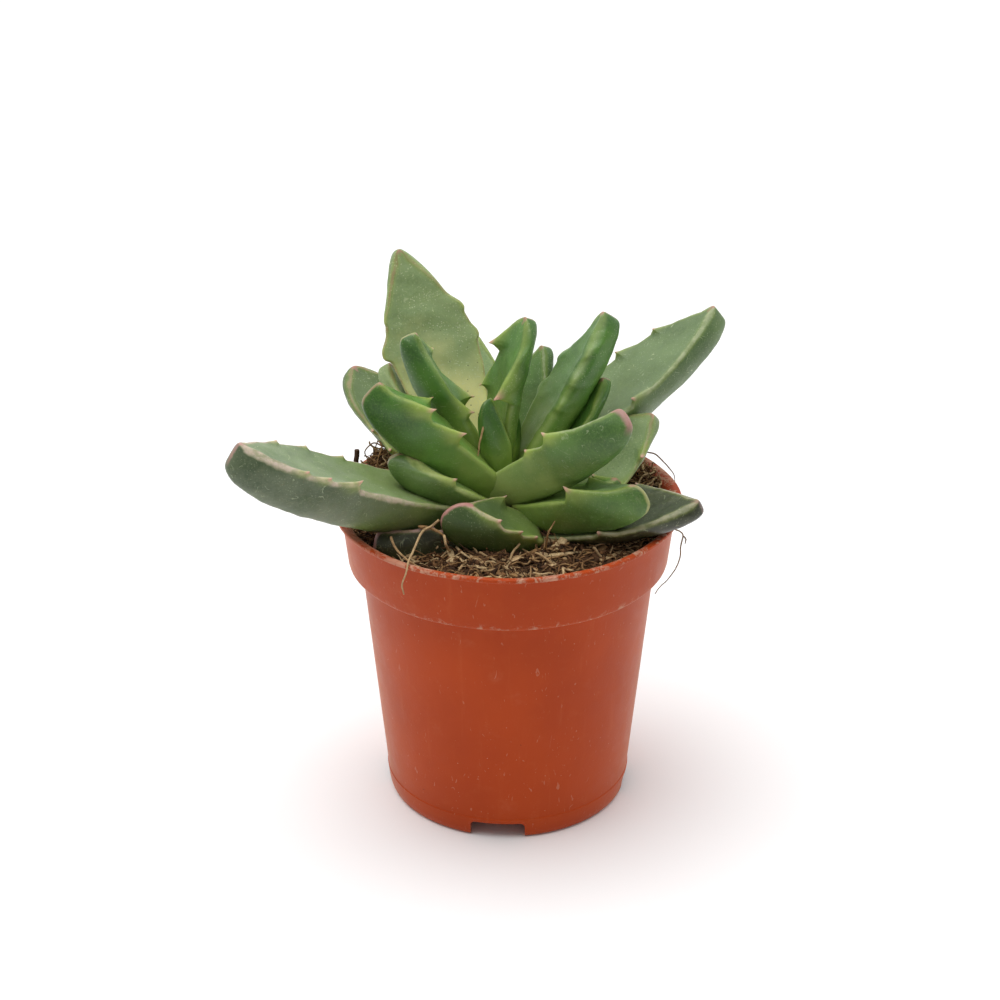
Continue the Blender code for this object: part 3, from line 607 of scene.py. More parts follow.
SKINS = {
    "leaf_centre_front": YOUNG._replace(rim=0.3, blush=0.1, nose=0.15, yellow=0.8),
    "leaf_centre_back": YOUNG._replace(blush=0.1),
    "leaf_right_front": GROWN._replace(glow=(164, 182, 104), nose=0.75, nose_tone=(176, 128, 124),
        blush=1.0, yellow=0.95, rim=0.13, pale=0.25),
    "leaf_left_mid": YOUNG._replace(light=(98, 148, 54), rim=0.2, nose=0.4, nose_tone=TAN, yellow=0.9),
    "leaf_left_up": YOUNG._replace(deep=(50, 94, 22), rim=0.1, rim_share=0.25, nose=0.34, nose_tone=CREAM,
        pale=0.4, yellow=0.95),
    "leaf_right_centre": YOUNG._replace(deep=(52, 96, 26), light=(86, 130, 46), yellow=0.75, flank=0.05,
        rim=0.8, rim_tone=WHITISH, rim_share=0.16, nose=0.25, pale=0.4, dark=0.7),
    "leaf_back_centre": YOUNG._replace(light=(92, 138, 54), nose=0.3, pale=0.6, rim_share=0.3),
    # Painted light: pale tones and a strong glow brighten this leaf's base, which lies in shade between the
    # leaves
    "leaf_back_tall": OLD._replace(deep=(106, 128, 74), light=(138, 156, 100), pale=1.4, dark=0.9,
        yellow=1.2, glow=(226, 222, 152), nose=0.15, rim_tone=(150, 104, 82)),
    "leaf_far_right": OLD._replace(deep=(66, 92, 42), light=(96, 120, 70), bloom=0.28, flank=0.0, rim=0.3,
        rim_tone=WHITISH, rim_share=0.6, nose=0.3, russet=0.8, yellow=0.3, pale=0.45),
    "leaf_left_small": GROWN._replace(deep=(78, 112, 46), light=(124, 156, 80), rim=0.6,
        rim_tone=(176, 188, 116), rim_share=0.85, nose=0.25, yellow=0.9),
    "leaf_far_left": OLD._replace(deep=(58, 82, 42), light=(118, 132, 98), flank=0.36, rim=0.5,
        rim_tone=(204, 184, 168), rim_share=0.8, nose=0.4, nose_tone=(180, 134, 126), yellow=0.5,
        pale=0.35),
    "leaf_back_right": GROWN._replace(deep=(60, 98, 34), light=(92, 132, 60), rim=0.1, pale=0.7, blush=0.5,
        dark=0.6, bloom=0.15),
    "leaf_right_behind": YOUNG,
    "leaf_right_low": GROWN._replace(deep=(64, 100, 34), rim=0.14, rim_tone=LIME_GREEN, nose=0.36,
        nose_tone=(178, 170, 112), blush=0.7, dust=0.3),
    "leaf_right_shadow": YOUNG._replace(light=(100, 140, 58)),
    "leaf_right_mid": GROWN._replace(deep=(96, 122, 68), light=(146, 166, 112), rim=0.1, rim_tone=TAN,
        rim_share=0.4, dark=0.7, nose=0.15, blush=0.8, pale=0.6),
    "leaf_far_right_low": SHADED._replace(rim=0.3, rim_tone=(172, 164, 134), rim_share=0.6, nose=0.4,
        nose_tone=(150, 108, 100), blush=0.35),
    "leaf_front": GROWN._replace(deep=(56, 80, 32), light=(72, 94, 44), bloom=0.15, flank=0.0, rim=0.24,
        rim_tone=(190, 166, 142), rim_share=0.75, nose=0.4, nose_tone=PINK, blush=1.0, yellow=0.45,
        pale=0.35),
    "leaf_low_left": SHADED._replace(nose=0.7, nose_tone=(216, 168, 164), rim=0.36, rim_share=0.7,
        rim_tone=(208, 164, 156), blush=1.0),
    "leaf_back_left": OLD._replace(deep=(104, 128, 72), light=(150, 170, 112), yellow=0.7),
    "leaf_left_back": OLD._replace(deep=(68, 92, 42), light=(100, 122, 70), bloom=0.2, rim=0.14, nose=0.26,
        nose_tone=PINK, dark=1.0, dust=0.3),
    "leaf_back_tip": OLD,
    "leaf_back_low": GROWN._replace(deep=(84, 116, 44), light=(134, 158, 76), yellow=0.9,
        rim_tone=LIME_GREEN),
}


def leaf_skin(name, skin):
    """Waxy green skin: mottled, dotted, with pale lines along its margins and pink at its ends, painted
    shade on its flanks and painted light at its base, along its margins and as a sheen on its upper face.
    """
    make = Finish(name, skin.deep)
    margin, keel_line, along = make.read("margin"), make.read("keel"), make.read("along")
    face, tooth, from_tip = make.read("face"), make.read("tooth"), make.read("from_tip")
    broad, middling, fine = make.grain(6.0, 3.0), make.grain(1.6, 5.0, 0.7), make.grain(0.3, 3.0, 0.6)
    make.coat(make.slide(broad, 0.3, 0.7), skin.light)
    make.coat(make.slide(middling, 0.45, 0.75, 0.0, 0.3), skin.deep)
    make.coat(make.slide(fine, 0.4, 0.7, 0.0, 0.45), skin.light)
    # Waxy bloom on the upper face: partly the skin's own wax, partly a painted sheen of the light from
    # above
    waxy_sheen = make.slide(middling, 0.3, 0.65, 0.5 * skin.bloom, skin.bloom)
    make.coat(make.both(waxy_sheen, make.slide(face, 0.0, 1.0, 0.1, 1.0)), BLOOM_AND_SHEEN)
    # Painted shade: black laid over the flanks below the upper face, by each skin's flank share
    make.coat(make.slide(face, 1.0, 0.0, 0.0, skin.flank), FLANK_SHADE_BLACK)
    # Painted light: pale yellow-green towards the base, partly the paler flesh there, partly painted light
    # shining through it
    glow = make.plus(along, make.slide(broad, 0.2, 0.8, -0.15, 0.15))
    make.coat(make.slide(glow, 0.7, 0.14, 0.0, min(1.0, 0.85 * skin.yellow)), skin.glow)
    # Darker brown at the very base of each leaf
    make.coat(make.slide(along, 0.07, 0.01, 0.0, 0.6), BASE_DARK_BROWN)

    clusters = make.slide(make.grain(3.0, 4.0, 0.65), 0.42, 0.6, 0.1 * skin.pale, 0.5 * skin.pale)
    specks = make.both(make.spots(0.36, 0.38, 0.6), clusters)
    dots = make.most(specks, make.both(make.spots(0.9, 0.2, 0.35), 0.25 * skin.pale))
    make.coat(dots, PALE_DOT)
    low = make.slide(along, 0.9, 0.3, 0.1 * skin.dark, 0.8 * skin.dark)
    make.coat(make.both(make.spots(0.85, 0.17, 0.6), low), DARK_DOT)
    make.coat(make.slide(make.grain(1.3, 5.0, 0.75), 0.64, 0.74, 0.0, 0.5 * skin.russet), RUSSET)
    dusty = make.slide(make.grain(2.6, 6.0, 0.75, 0.4), 0.54, 0.8, 0.0, skin.dust)
    make.coat(dusty, DUST)
    scuff = make.grain(5.5, 1.0, 0.4, 2.5)
    ring = make.both(make.slide(scuff, 0.575, 0.585), make.slide(scuff, 0.6, 0.59))
    torn = make.slide(make.grain(0.9, 4.0), 0.5, 0.62, 0.0, 0.5 * skin.russet + 0.15)
    make.coat(make.both(ring, torn), PALE_DOT)

    wander = make.slide(make.grain(1.1, 3.0), 0.2, 0.8, -0.12, 0.12)
    edge, ridge = make.plus(margin, wander), make.plus(keel_line, wander)
    # Painted light: a yellow-green zone along the margins, for light shining through the thin edges
    make.coat(make.slide(edge, 0.9, 0.1, 0.0, 0.22), YELLOW_GREEN)
    worn = make.slide(make.grain(1.9, 4.0, 0.65), 0.35, 0.6, 0.35, 1.0)
    band = make.slide(edge, 1.5 * skin.rim + 0.05, 0.4 * skin.rim, 0.0, skin.rim_share)
    band = make.both(make.both(band, make.slide(along, 0.08, 0.5, 0.3, 1.0)), worn)
    make.coat(band, skin.rim_tone)
    chin = make.slide(ridge, 1.4 * skin.nose, 0.6 * skin.nose, 0.0, 0.85 * skin.blush)
    make.coat(make.both(chin, make.slide(from_tip, 6.0, 3.5)), skin.nose_tone)
    make.coat(make.slide(tooth, 0.1, 0.55, 0.0, 0.55 * skin.yellow), YELLOW_GREEN)
    end = make.slide(edge, 0.8, 0.3, 0.0, 0.8 * skin.blush)
    make.coat(make.both(make.slide(from_tip, 0.8, 0.2), end), PINK)
    make.coat(make.slide(tooth, 0.6, 0.92, 0.0, 0.9), TOOTH_TIP)

    gloss = make.slide(middling, 0.3, 0.7, skin.gloss - 0.05, skin.gloss + 0.08)
    relief = make.plus(make.both(fine, 0.4), make.both(make.grain(0.14, 2.0), 0.3))
    return make.done(make.plus(gloss, make.both(dusty, 0.3)), make.plus(relief, make.both(dots, 0.5)),
                     0.045, more={"Subsurface Weight": 0.25, "Subsurface Radius": (1.0, 1.0, 0.4),
                                  "Subsurface Scale": 1.2 * MM})


def dress_leaves():
    for index, leaf in enumerate(LEAVES):
        piece = link(bpy.data.objects.new(leaf.name + "_fine", leaf_mesh(leaf, 100 + 10 * index)))
        skin = leaf_skin("skin_of_" + leaf.name, SKINS[leaf.name])
        attach(piece, skin, "leaf", leaf.name)


# Pot

def body_radius(height):
    return BODY_FOOT_RADIUS + (BODY_TOP_RADIUS - BODY_FOOT_RADIUS) * height / COLLAR_FOOT_HEIGHT


def pot_profile():
    """Corners of the pot's section and the size of the rounding of each."""
    lip_foot = POT_HEIGHT - LIP_THICKNESS
    shelf = COLLAR_FOOT_HEIGHT + WALL
    line = MOULDING_LINE_HEIGHT
    return [
        (0.0, FLOOR_TOP, 0.0),
        (body_radius(FLOOR_TOP) - WALL, FLOOR_TOP, 0.6),
        (body_radius(shelf) - WALL, shelf - 0.4, 0.5),
        (COLLAR_FOOT_RADIUS - WALL, shelf + 0.2, 0.5),
        (COLLAR_TOP_RADIUS - WALL, lip_foot - 0.2, 0.7),
        (LIP_INNER_RADIUS, POT_HEIGHT, 0.25),
        (LIP_RADIUS, POT_HEIGHT, 0.22),
        (LIP_RADIUS, lip_foot, 0.2),
        (COLLAR_TOP_RADIUS, lip_foot - 0.1, 0.25),
        (COLLAR_FOOT_RADIUS, COLLAR_FOOT_HEIGHT, 0.75),
        (body_radius(COLLAR_FOOT_HEIGHT), COLLAR_FOOT_HEIGHT, 0.35),
        (body_radius(line) - MOULDING_LINE_DEPTH / 3, line + 0.12, 0.06),
        (body_radius(line) + MOULDING_LINE_DEPTH, line, 0.06),
        (body_radius(FOOT_BEND_HEIGHT) + 0.03, FOOT_BEND_HEIGHT, 0.3),
        (FOOT_EDGE[0], FOOT_EDGE[1], 0.2),
        (FOOT_RING_RADIUS, 0.0, 0.12),
        (FOOT_RING_INNER_RADIUS, 0.0, 0.2),
        (FOOT_RING_INNER_RADIUS, FLOOR_UNDERSIDE, 0.3),
        (0.0, FLOOR_UNDERSIDE, 0.0),
    ]


def eased(profile, pieces=5, longest=2.5):
    """Round every corner of a section, and split its long straights."""
    corners = [Vector(corner[:2]) for corner in profile]
    path = [corners[0]]
    for before, here, after, corner in zip(corners, corners[1:], corners[2:], profile[1:]):
        reach = min(corner[2], (here - before).length * 0.48, (after - here).length * 0.48)
        start = here + (before - here).normalized() * reach
        end = here + (after - here).normalized() * reach
        for step in range(pieces):
            share = step / (pieces - 1)
            path.append(start.lerp(here, share).lerp(here.lerp(end, share), share))
    path.append(corners[-1])
    split = [path[0]]
    for before, here in zip(path, path[1:]):
        count = max(1, int((here - before).length / longest + 0.999))
        split += [before.lerp(here, (step + 1) / count) for step in range(count)]
    return split


def notch_cutter():
    """A bar with rounded upper corners that cuts one notch through the foot ring."""
    half = NOTCH_WIDTH / 2
    outline = [(-half, -2.0), (half, -2.0)]
    for centre_x, start in ((half - NOTCH_ROUND, 0), (NOTCH_ROUND - half, 90)):
        outline += [(centre_x + NOTCH_ROUND * cos(radians(start + turn)),
                     NOTCH_HEIGHT - NOTCH_ROUND + NOTCH_ROUND * sin(radians(start + turn)))
                    for turn in range(0, 91, 15)]
    points = [(x, y, z) for x in (-2.5, 2.5) for y, z in outline]
    count = len(outline)
    faces = [tuple(reversed(range(count))), tuple(range(count, 2 * count))]
    faces += [(step, (step + 1) % count, count + (step + 1) % count, count + step)
              for step in range(count)]
    mesh = bpy.data.meshes.new("notch")
    mesh.from_pydata(points, [], faces)
    return link(bpy.data.objects.new("notch", mesh))


def make_pot():
    """Turn the section, warp the lip a little, and cut the notches and drain holes."""
    shape = bmesh.new()
    corners = [shape.verts.new((point.x, 0.0, point.y)) for point in eased(pot_profile())]
    edges = [shape.edges.new(pair) for pair in zip(corners, corners[1:])]
    bmesh.ops.spin(shape, geom=corners + edges, cent=(0, 0, 0), axis=(0, 0, 1), dvec=(0, 0, 0),
                   angle=2 * pi, steps=POT_STEPS, use_merge=True, use_duplicate=False)
    bmesh.ops.remove_doubles(shape, verts=shape.verts, dist=0.002)
    bmesh.ops.recalc_face_normals(shape, faces=shape.faces)
    if shape.calc_volume(signed=True) < 0:
        bmesh.ops.reverse_faces(shape, faces=shape.faces)
    mesh = bpy.data.meshes.new("pot_fine")
    shape.to_mesh(mesh)
    shape.free()
    pot = link(bpy.data.objects.new("pot_fine", mesh))
    cutters = []
    for index in range(NOTCHES):
        turn = radians(FIRST_NOTCH_AZIMUTH + index * 360 / NOTCHES)
        middle = (FOOT_RING_INNER_RADIUS + FOOT_EDGE[0]) / 2
        notch = notch_cutter()
        notch.rotation_euler = (0, 0, turn)
        notch.location = (middle * cos(turn), middle * sin(turn), 0)
        bpy.ops.mesh.primitive_cylinder_add(vertices=48, radius=DRAIN_HOLE_RADIUS, depth=6.0)
        drain = bpy.context.object
        drain.location = (DRAIN_RING_RADIUS * cos(turn), DRAIN_RING_RADIUS * sin(turn), FLOOR_TOP)
        cutters += [notch, drain]
    group = bpy.data.collections.new("pot_cutters")
    bpy.context.scene.collection.children.link(group)
    for cutter in cutters:
        group.objects.link(cutter)
        bpy.context.scene.collection.objects.unlink(cutter)
    step = pot.modifiers.new("cut", "BOOLEAN")
    step.operand_type = "COLLECTION"
    step.collection = group
    step.operation = "DIFFERENCE"
    step.solver = "EXACT"
    mesh = settled(pot)
    for cutter in cutters:
        bpy.data.objects.remove(cutter, do_unlink=True)
    bpy.data.collections.remove(group)
    count = len(mesh.vertices)
    places = np.empty(count * 3)
    mesh.vertices.foreach_get("co", places)
    places = places.reshape(-1, 3)
    turn = np.arctan2(places[:, 1], places[:, 0])
    lift = np.clip(places[:, 2] / POT_HEIGHT, 0, 1) ** 3
    wave = np.sin(2 * turn + 0.7) + 0.5 * np.sin(5 * turn + 2.1) + 0.3 * np.sin(11 * turn)
    sway = 0.5 * np.sin(3 * turn + 1.3) + 0.3 * np.sin(9 * turn) - 0.5
    places[:, 2] += lift * POT_WARP * 0.6 * sway
    grow = 1 + lift * POT_WARP * (wave - 1.2) / LIP_RADIUS
    places[:, 0] *= grow
    places[:, 1] *= grow
    mesh.vertices.foreach_set("co", placed(places).ravel())
    pot.data = mesh
    mesh.shade_smooth()
    mesh.set_sharp_from_angle(angle=radians(40))
    return pot


TERRACOTTA = (176, 64, 12)
TERRACOTTA_DARK = (166, 58, 10)
TERRACOTTA_PALE = (196, 100, 56)
LIME = (206, 172, 146)
GRIME = (84, 44, 26)


def pot_plastic():
    """Satin terracotta plastic with lime along its edges, pale specks, scuffs and dust."""
    make = Finish("terracotta_plastic", TERRACOTTA_DARK)
    height, middling = make.ruler("Z"), make.grain(3.0, 5.0, 0.65)
    make.coat(make.slide(make.grain(16.0, 3.0), 0.3, 0.7), TERRACOTTA)
    make.coat(make.slide(middling, 0.5, 0.8, 0.0, 0.12), TERRACOTTA_PALE)
    streaks = make.grain(1.6, 3.0, 0.6, 0.0, (1.0, 1.0, 0.1))
    make.coat(make.slide(streaks, 0.58, 0.8, 0.0, 0.14), TERRACOTTA_PALE)
    make.coat(make.both(make.spots(1.5, 0.08, 0.25), 0.4), LIME)
    make.coat(make.both(make.spots(2.6, 0.06, 0.2), 0.7), GRIME)
    scratches = make.grain(1.2, 2.0, 0.5, 3.0, (1.0, 1.0, 0.35))
    make.coat(make.slide(scratches, 0.69, 0.73, 0.0, 0.2), LIME)

    patchy, broken = make.grain(1.3, 6.0, 0.75, 0.6), make.grain(6.5, 2.0)
    on_lip = make.slide(make.plus(patchy, make.both(broken, 0.5)), 0.7, 0.84)
    on_lip = make.both(make.slide(height, POT_HEIGHT - 1.2, POT_HEIGHT - 0.3), on_lip)
    drips = make.slide(height, POT_HEIGHT - 3.2, POT_HEIGHT - 0.2)
    drips = make.both(drips, make.slide(patchy, 0.66, 0.78))
    foot = COLLAR_FOOT_HEIGHT
    on_collar = make.both(make.slide(height, foot + 1.5, foot + 0.1), make.slide(height, foot - 0.5, foot))
    on_collar = make.both(on_collar, make.slide(patchy, 0.5, 0.68))
    rubbed = make.slide(make.ruler("X"), -20.0, -8.0, 0.35, 1.0)
    lime = make.both(make.most(make.most(on_lip, drips), on_collar), rubbed)
    make.coat(make.both(lime, 0.62), LIME)
    dusty = make.slide(make.grain(6.0, 6.0, 0.7), 0.55, 0.8, 0.0, 0.05)
    make.coat(dusty, LIME)

    gloss = make.slide(middling, 0.3, 0.7, 0.4, 0.5)
    relief = make.plus(make.both(make.grain(0.35, 3.0), 0.35), make.both(lime, 0.9))
    return make.done(make.plus(gloss, make.both(make.most(lime, dusty), 0.35)),
                     make.plus(relief, make.both(make.grain(4.5, 2.0), 0.7)), 0.05, 0.15,
                     {"Sheen Weight": 0.22, "Sheen Roughness": 0.4, "Sheen Tint": (1.0, 0.86, 0.6, 1.0)})


# Soil

def soil_height(x, y):
    """Height of the coir: a low crown, heaps and hollows, and lumps of every size."""
    crown = SOIL_CROWN_RISE * exp(-(hypot(x, y) / SOIL_CROWN_SPREAD) ** 2)
    mounds = sum(rise * exp(-(hypot(x - middle_x, y - middle_y) / spread) ** 2)
                 for middle_x, middle_y, rise, spread in SOIL_HEAPS)
    lump = SOIL_LUMP_RISE * noise.noise(Vector((x, y, 0.0)) / SOIL_LUMP_SIZE)
    clods = 0.42 * noise.noise(Vector((x, y, 3.0)) / 1.5) + 0.3 * noise.noise(Vector((x, y, 7.0)) / 0.7)
    pits = -0.5 * abs(noise.noise(Vector((x, y, 11.0)) / 1.1))
    return SOIL_LEVEL + crown + mounds + lump + clods + pits


def soil_ring(radius, height=None):
    """One ring of points, at a height or on the lumpy surface."""
    turns = [2 * pi * step / SOIL_STEPS for step in range(SOIL_STEPS)]
    plan = [(radius * cos(turn), radius * sin(turn)) for turn in turns]
    return [(x, y, soil_height(x, y) if height is None else height) for x, y in plan]


def soil_points():
    """Rings of the soil's surface from the wall to the middle."""
    return [soil_ring(SOIL_RIM * (1 - ring / SOIL_RINGS)) for ring in range(SOIL_RINGS)]


def make_soil(surface):
    shelf = COLLAR_FOOT_HEIGHT + WALL
    rings = [soil_ring(body_radius(FLOOR_TOP) - WALL - SOIL_GAP, FLOOR_TOP + SOIL_GAP),
             soil_ring(body_radius(shelf) - WALL - SOIL_GAP, shelf - 0.2),
             soil_ring(COLLAR_FOOT_RADIUS - WALL - SOIL_GAP, shelf + 0.5)] + surface
    points = [point for ring in rings for point in ring]
    faces = ring_faces(len(rings), SOIL_STEPS)
    last = (len(rings) - 1) * SOIL_STEPS
    top, bottom = len(points), len(points) + 1
    points += [(0.0, 0.0, soil_height(0.0, 0.0)), (0.0, 0.0, FLOOR_TOP + SOIL_GAP)]
    for step in range(SOIL_STEPS):
        after = (step + 1) % SOIL_STEPS
        faces.append((last + step, last + after, top))
        faces.append((after, step, bottom))
    return link(bpy.data.objects.new("coir_soil", shell("coir_soil", points, faces)))


def coir_soil():
    """Dark crumbly coir, flecked with brown and tan."""
    make = Finish("dark_coir", (46, 31, 20))
    clod, crumb = make.grain(1.6, 5.0, 0.7), make.grain(0.3, 4.0, 0.7)
    make.coat(make.slide(clod, 0.35, 0.7), (104, 75, 48))
    make.coat(make.slide(crumb, 0.5, 0.72, 0.0, 0.75), (124, 92, 60))
    make.coat(make.slide(make.grain(0.7, 3.0), 0.56, 0.66, 0.0, 0.8), (30, 20, 14))
    return make.done(0.95, make.plus(make.both(clod, 0.6), make.both(crumb, 0.8)), 0.5, 0.2)


# Loose coir: fibres, flakes and crumbs scattered on the soil, and laid strands

def new_tree(name, inputs):
    """A Geometry Nodes tree with its named inputs; returns it and its input sockets."""
    tree = bpy.data.node_groups.new(name, "GeometryNodeTree")
    tree.interface.new_socket("Geometry", in_out="INPUT", socket_type="NodeSocketGeometry")
    for label, value in inputs.items():
        kind = "NodeSocketInt" if isinstance(value, int) else "NodeSocketFloat"
        tree.interface.new_socket(label, in_out="INPUT", socket_type=kind).default_value = value
    tree.interface.new_socket("Geometry", in_out="OUTPUT", socket_type="NodeSocketGeometry")
    return tree, tree.nodes.new("NodeGroupInput").outputs


def close_tree(tree, geometry, material):
    """Finish a tree: smooth, in its material, and out. Returns both, for grown to use."""
    smooth = made(tree, "GeometryNodeSetShadeSmooth", {"Geometry": geometry})
    finished = made(tree, "GeometryNodeSetMaterial", {"Geometry": smooth, "Material": material})
    wire(tree, "NodeGroupOutput", {"Geometry": finished})
    return tree, material


def reckon_vector(tree, operation, first, second, out=0):
    return made(tree, "ShaderNodeVectorMath", {0: first, 1: second}, out, operation=operation)


def named(tree, name):
    """The number that every element keeps under a name."""
    return made(tree, "GeometryNodeInputNamedAttribute", {"Name": name}, data_type="FLOAT")


def vector(tree, x=0.0, y=0.0, z=0.0):
    return made(tree, "ShaderNodeCombineXYZ", {0: x, 1: y, 2: z})


def drawn(tree, kind, low, high, seed, offset):
    """A seeded random number or vector for every element."""
    first, second, out = (2, 3, 1) if kind == "FLOAT" else (0, 1, 0)
    return made(tree, "FunctionNodeRandomValue",
                {first: low, second: high, "Seed": reckon(tree, "ADD", seed, float(offset))}, out,
                data_type=kind)


def strewn(tree, given, piece, least, most, size):
    """Copies of a piece on the ground, thicker where its cover is high, each with its own turn and tone."""
    density = reckon(tree, "MULTIPLY", named(tree, "cover"), given["Density"])
    points = made(tree, "GeometryNodeDistributePointsOnFaces",
                  {"Mesh": given["Geometry"], "Density": density, "Seed": given["Seed"]},
                  distribute_method="RANDOM")
    angles = drawn(tree, "FLOAT_VECTOR", least, most, given["Seed"], 1)
    copies = made(tree, "GeometryNodeInstanceOnPoints",
                  {"Points": points, "Instance": piece, "Scale": size,
                   "Rotation": made(tree, "FunctionNodeEulerToRotation", {0: angles})})
    stored = made(tree, "GeometryNodeStoreNamedAttribute",
                  {"Geometry": copies, "Name": "tone",
                   "Value": drawn(tree, "FLOAT", 0.0, 1.0, given["Seed"], 5)},
                  data_type="FLOAT", domain="INSTANCE")
    return made(tree, "GeometryNodeRealizeInstances", {"Geometry": stored})


def wandering(tree, geometry, size, reach, vary):
    """Move points by smooth noise, differently for each value of vary."""
    texture = made(tree, "ShaderNodeTexNoise",
                   {"Vector": made(tree, "GeometryNodeInputPosition"), "W": vary,
                    "Scale": reckon(tree, "DIVIDE", 1.0, size), "Detail": 1.0}, "Color",
                   noise_dimensions="4D")
    centred = reckon_vector(tree, "SUBTRACT", texture, (0.5, 0.5, 0.5))
    offset = made(tree, "ShaderNodeVectorMath", {0: centred, "Scale": reach}, operation="SCALE")
    return made(tree, "GeometryNodeSetPosition", {"Geometry": geometry, "Offset": offset})


def held_in(tree, geometry, wall):
    """Push what would pass through the pot's wall back inside it."""
    place = made(tree, "GeometryNodeInputPosition")
    level = reckon_vector(tree, "MULTIPLY", place, (1.0, 1.0, 0.0))
    reach = reckon_vector(tree, "LENGTH", level, (0.0, 0.0, 0.0), "Value")
    share = reckon(tree, "MINIMUM", reckon(tree, "DIVIDE", wall, reach), 1.0)
    inside = reckon_vector(tree, "MULTIPLY", place, vector(tree, share, share, 1.0))
    return made(tree, "GeometryNodeSetPosition", {"Geometry": geometry, "Position": inside})


def swept(tree, curve, given):
    """Sweep a small flattened round along every curve, thinner towards its end."""
    circle = made(tree, "GeometryNodeCurvePrimitiveCircle",
                  {"Resolution": given["Sides"], "Radius": given["Thickness"]})
    profile = made(tree, "GeometryNodeTransform",
                   {"Geometry": circle, "Scale": vector(tree, 1.0, given["Flatness"], 1.0)})
    factor = made(tree, "GeometryNodeSplineParameter", out="Factor")
    less = reckon(tree, "MULTIPLY", reckon(tree, "MULTIPLY", factor, factor), given["Taper"])
    girth = reckon(tree, "MULTIPLY_ADD", named(tree, "tone"), 0.6, 0.7)
    size = reckon(tree, "MULTIPLY", reckon(tree, "SUBTRACT", 1.0, less), girth)
    return made(tree, "GeometryNodeCurveToMesh",
                {"Curve": curve, "Profile Curve": profile, "Scale": size, "Fill Caps": True})


def fibre_tree(material):
    """Wandering fibres or flakes, strewn over the ground at all angles."""
    tree, given = new_tree("strewn_fibres", {
        "Density": 0.3, "Length": 6.0, "Thickness": 0.09, "Flatness": 1.0, "Tilt": 0.4, "Wander size": 3.0,
        "Wander": 2.0, "Wall": 25.1, "Taper": 0.7, "Points": 9, "Sides": 4, "Seed": 1})
    half = reckon(tree, "MULTIPLY", given["Length"], 0.5)
    line = made(tree, "GeometryNodeCurvePrimitiveLine",
                {"Start": vector(tree, reckon(tree, "MULTIPLY", half, -1.0)), "End": vector(tree, half)})
    line = made(tree, "GeometryNodeResampleCurve", {"Curve": line, "Count": given["Points"]})
    least = vector(tree, -pi, reckon(tree, "MULTIPLY", given["Tilt"], -1.0))
    most = vector(tree, pi, given["Tilt"], 2 * pi)
    size = drawn(tree, "FLOAT", 0.45, 1.35, given["Seed"], 2)
    straight = strewn(tree, given, line, least, most, size)
    vary = reckon(tree, "MULTIPLY", named(tree, "tone"), 90.0)
    bent = wandering(tree, straight, given["Wander size"], given["Wander"], vary)
    return close_tree(tree, swept(tree, held_in(tree, bent, given["Wall"]), given), material)


def crumb_tree(material):
    """Small uneven crumbs strewn over the ground."""
    tree, given = new_tree("strewn_crumbs", {"Density": 0.5, "Size": 0.35, "Wall": 25.0, "Seed": 1})
    ball = made(tree, "GeometryNodeMeshIcoSphere", {"Radius": given["Size"], "Subdivisions": 1})
    size = drawn(tree, "FLOAT_VECTOR", (0.4, 0.3, 0.25), (1.7, 1.0, 0.8), given["Seed"], 2)
    smooth = strewn(tree, given, ball, (-pi, -pi, -pi), (pi, pi, pi), size)
    rough = wandering(tree, smooth, 0.3, 0.3, 0.0)
    return close_tree(tree, held_in(tree, rough, given["Wall"]), material)


def strand_tree(material):
    """Sweep given lines into roots, straws and flakes."""
    tree, given = new_tree("laid_strands", {
        "Thickness": 1.0, "Flatness": 1.0, "Step": 0.3, "Wander size": 1.6, "Wander": 0.25, "Taper": 0.5,
        "Sides": 6})
    curve = made(tree, "GeometryNodeMeshToCurve", {"Mesh": given["Geometry"]})
    curve = made(tree, "GeometryNodeCurveSplineType", {"Curve": curve}, spline_type="CATMULL_ROM")
    curve = made(tree, "GeometryNodeResampleCurve", {"Curve": curve, "Length": given["Step"]},
                 mode="LENGTH")
    bent = wandering(tree, curve, given["Wander size"], given["Wander"], 0.0)
    return close_tree(tree, swept(tree, bent, given), material)


def grown(name, mesh, kind, settings):
    """Run a tree on a mesh, keep the result as a plain mesh in place, and attach it."""
    tree, material = kind
    thing = link(bpy.data.objects.new(name, mesh))
    step = thing.modifiers.new("make", "NODES")
    step.node_group = tree
    sockets = {item.name: item.identifier for item in tree.interface.items_tree
               if item.in_out == "INPUT"}
    for label, value in settings.items():
        step[sockets[label]] = value
    result = settled(thing)
    thing.data = result
    places = np.empty(len(result.vertices) * 3)
    result.vertices.foreach_get("co", places)
    result.vertices.foreach_set("co", placed(places.reshape(-1, 3)).ravel())
    result.update()
    attach(thing, material, "soil")


def ground_mesh(surface, heaps_only=False):
    """The soil's surface, with how thickly loose coir lies on it."""
    points = [point for ring in surface for point in ring]
    faces = ring_faces(len(surface), SOIL_STEPS)
    mesh = bpy.data.meshes.new("ground")
    mesh.from_pydata(points, [], faces)
    across, back = np.array(points)[:, :2].T
    heaped = sum(np.exp(-(np.hypot(across - middle_x, back - middle_y) / spread) ** 2)
                 for middle_x, middle_y, rise, spread in SOIL_HEAPS if rise > 0)
    cover = heaped if heaps_only else np.clip((np.hypot(across, back) - 9) / 7, 0.12, 1)
    mesh.attributes.new("cover", "FLOAT", "POINT").data.foreach_set("value", cover.astype(np.float32))
    return mesh


def fibre_finish(name, dark, middle, pale):
    """Dry plant fibre, each strand in its own tone, streaked along its length."""
    make = Finish(name, dark)
    tone = make.read("tone")
    make.coat(make.slide(tone, 0.0, 0.55), middle)
    make.coat(make.slide(tone, 0.5, 1.0), pale)
    make.coat(make.slide(make.grain(0.8, 4.0, 0.7), 0.35, 0.75, 0.0, 0.6), dark)
    return make.done(0.8, make.grain(0.12, 3.0), 0.05, 0.25)


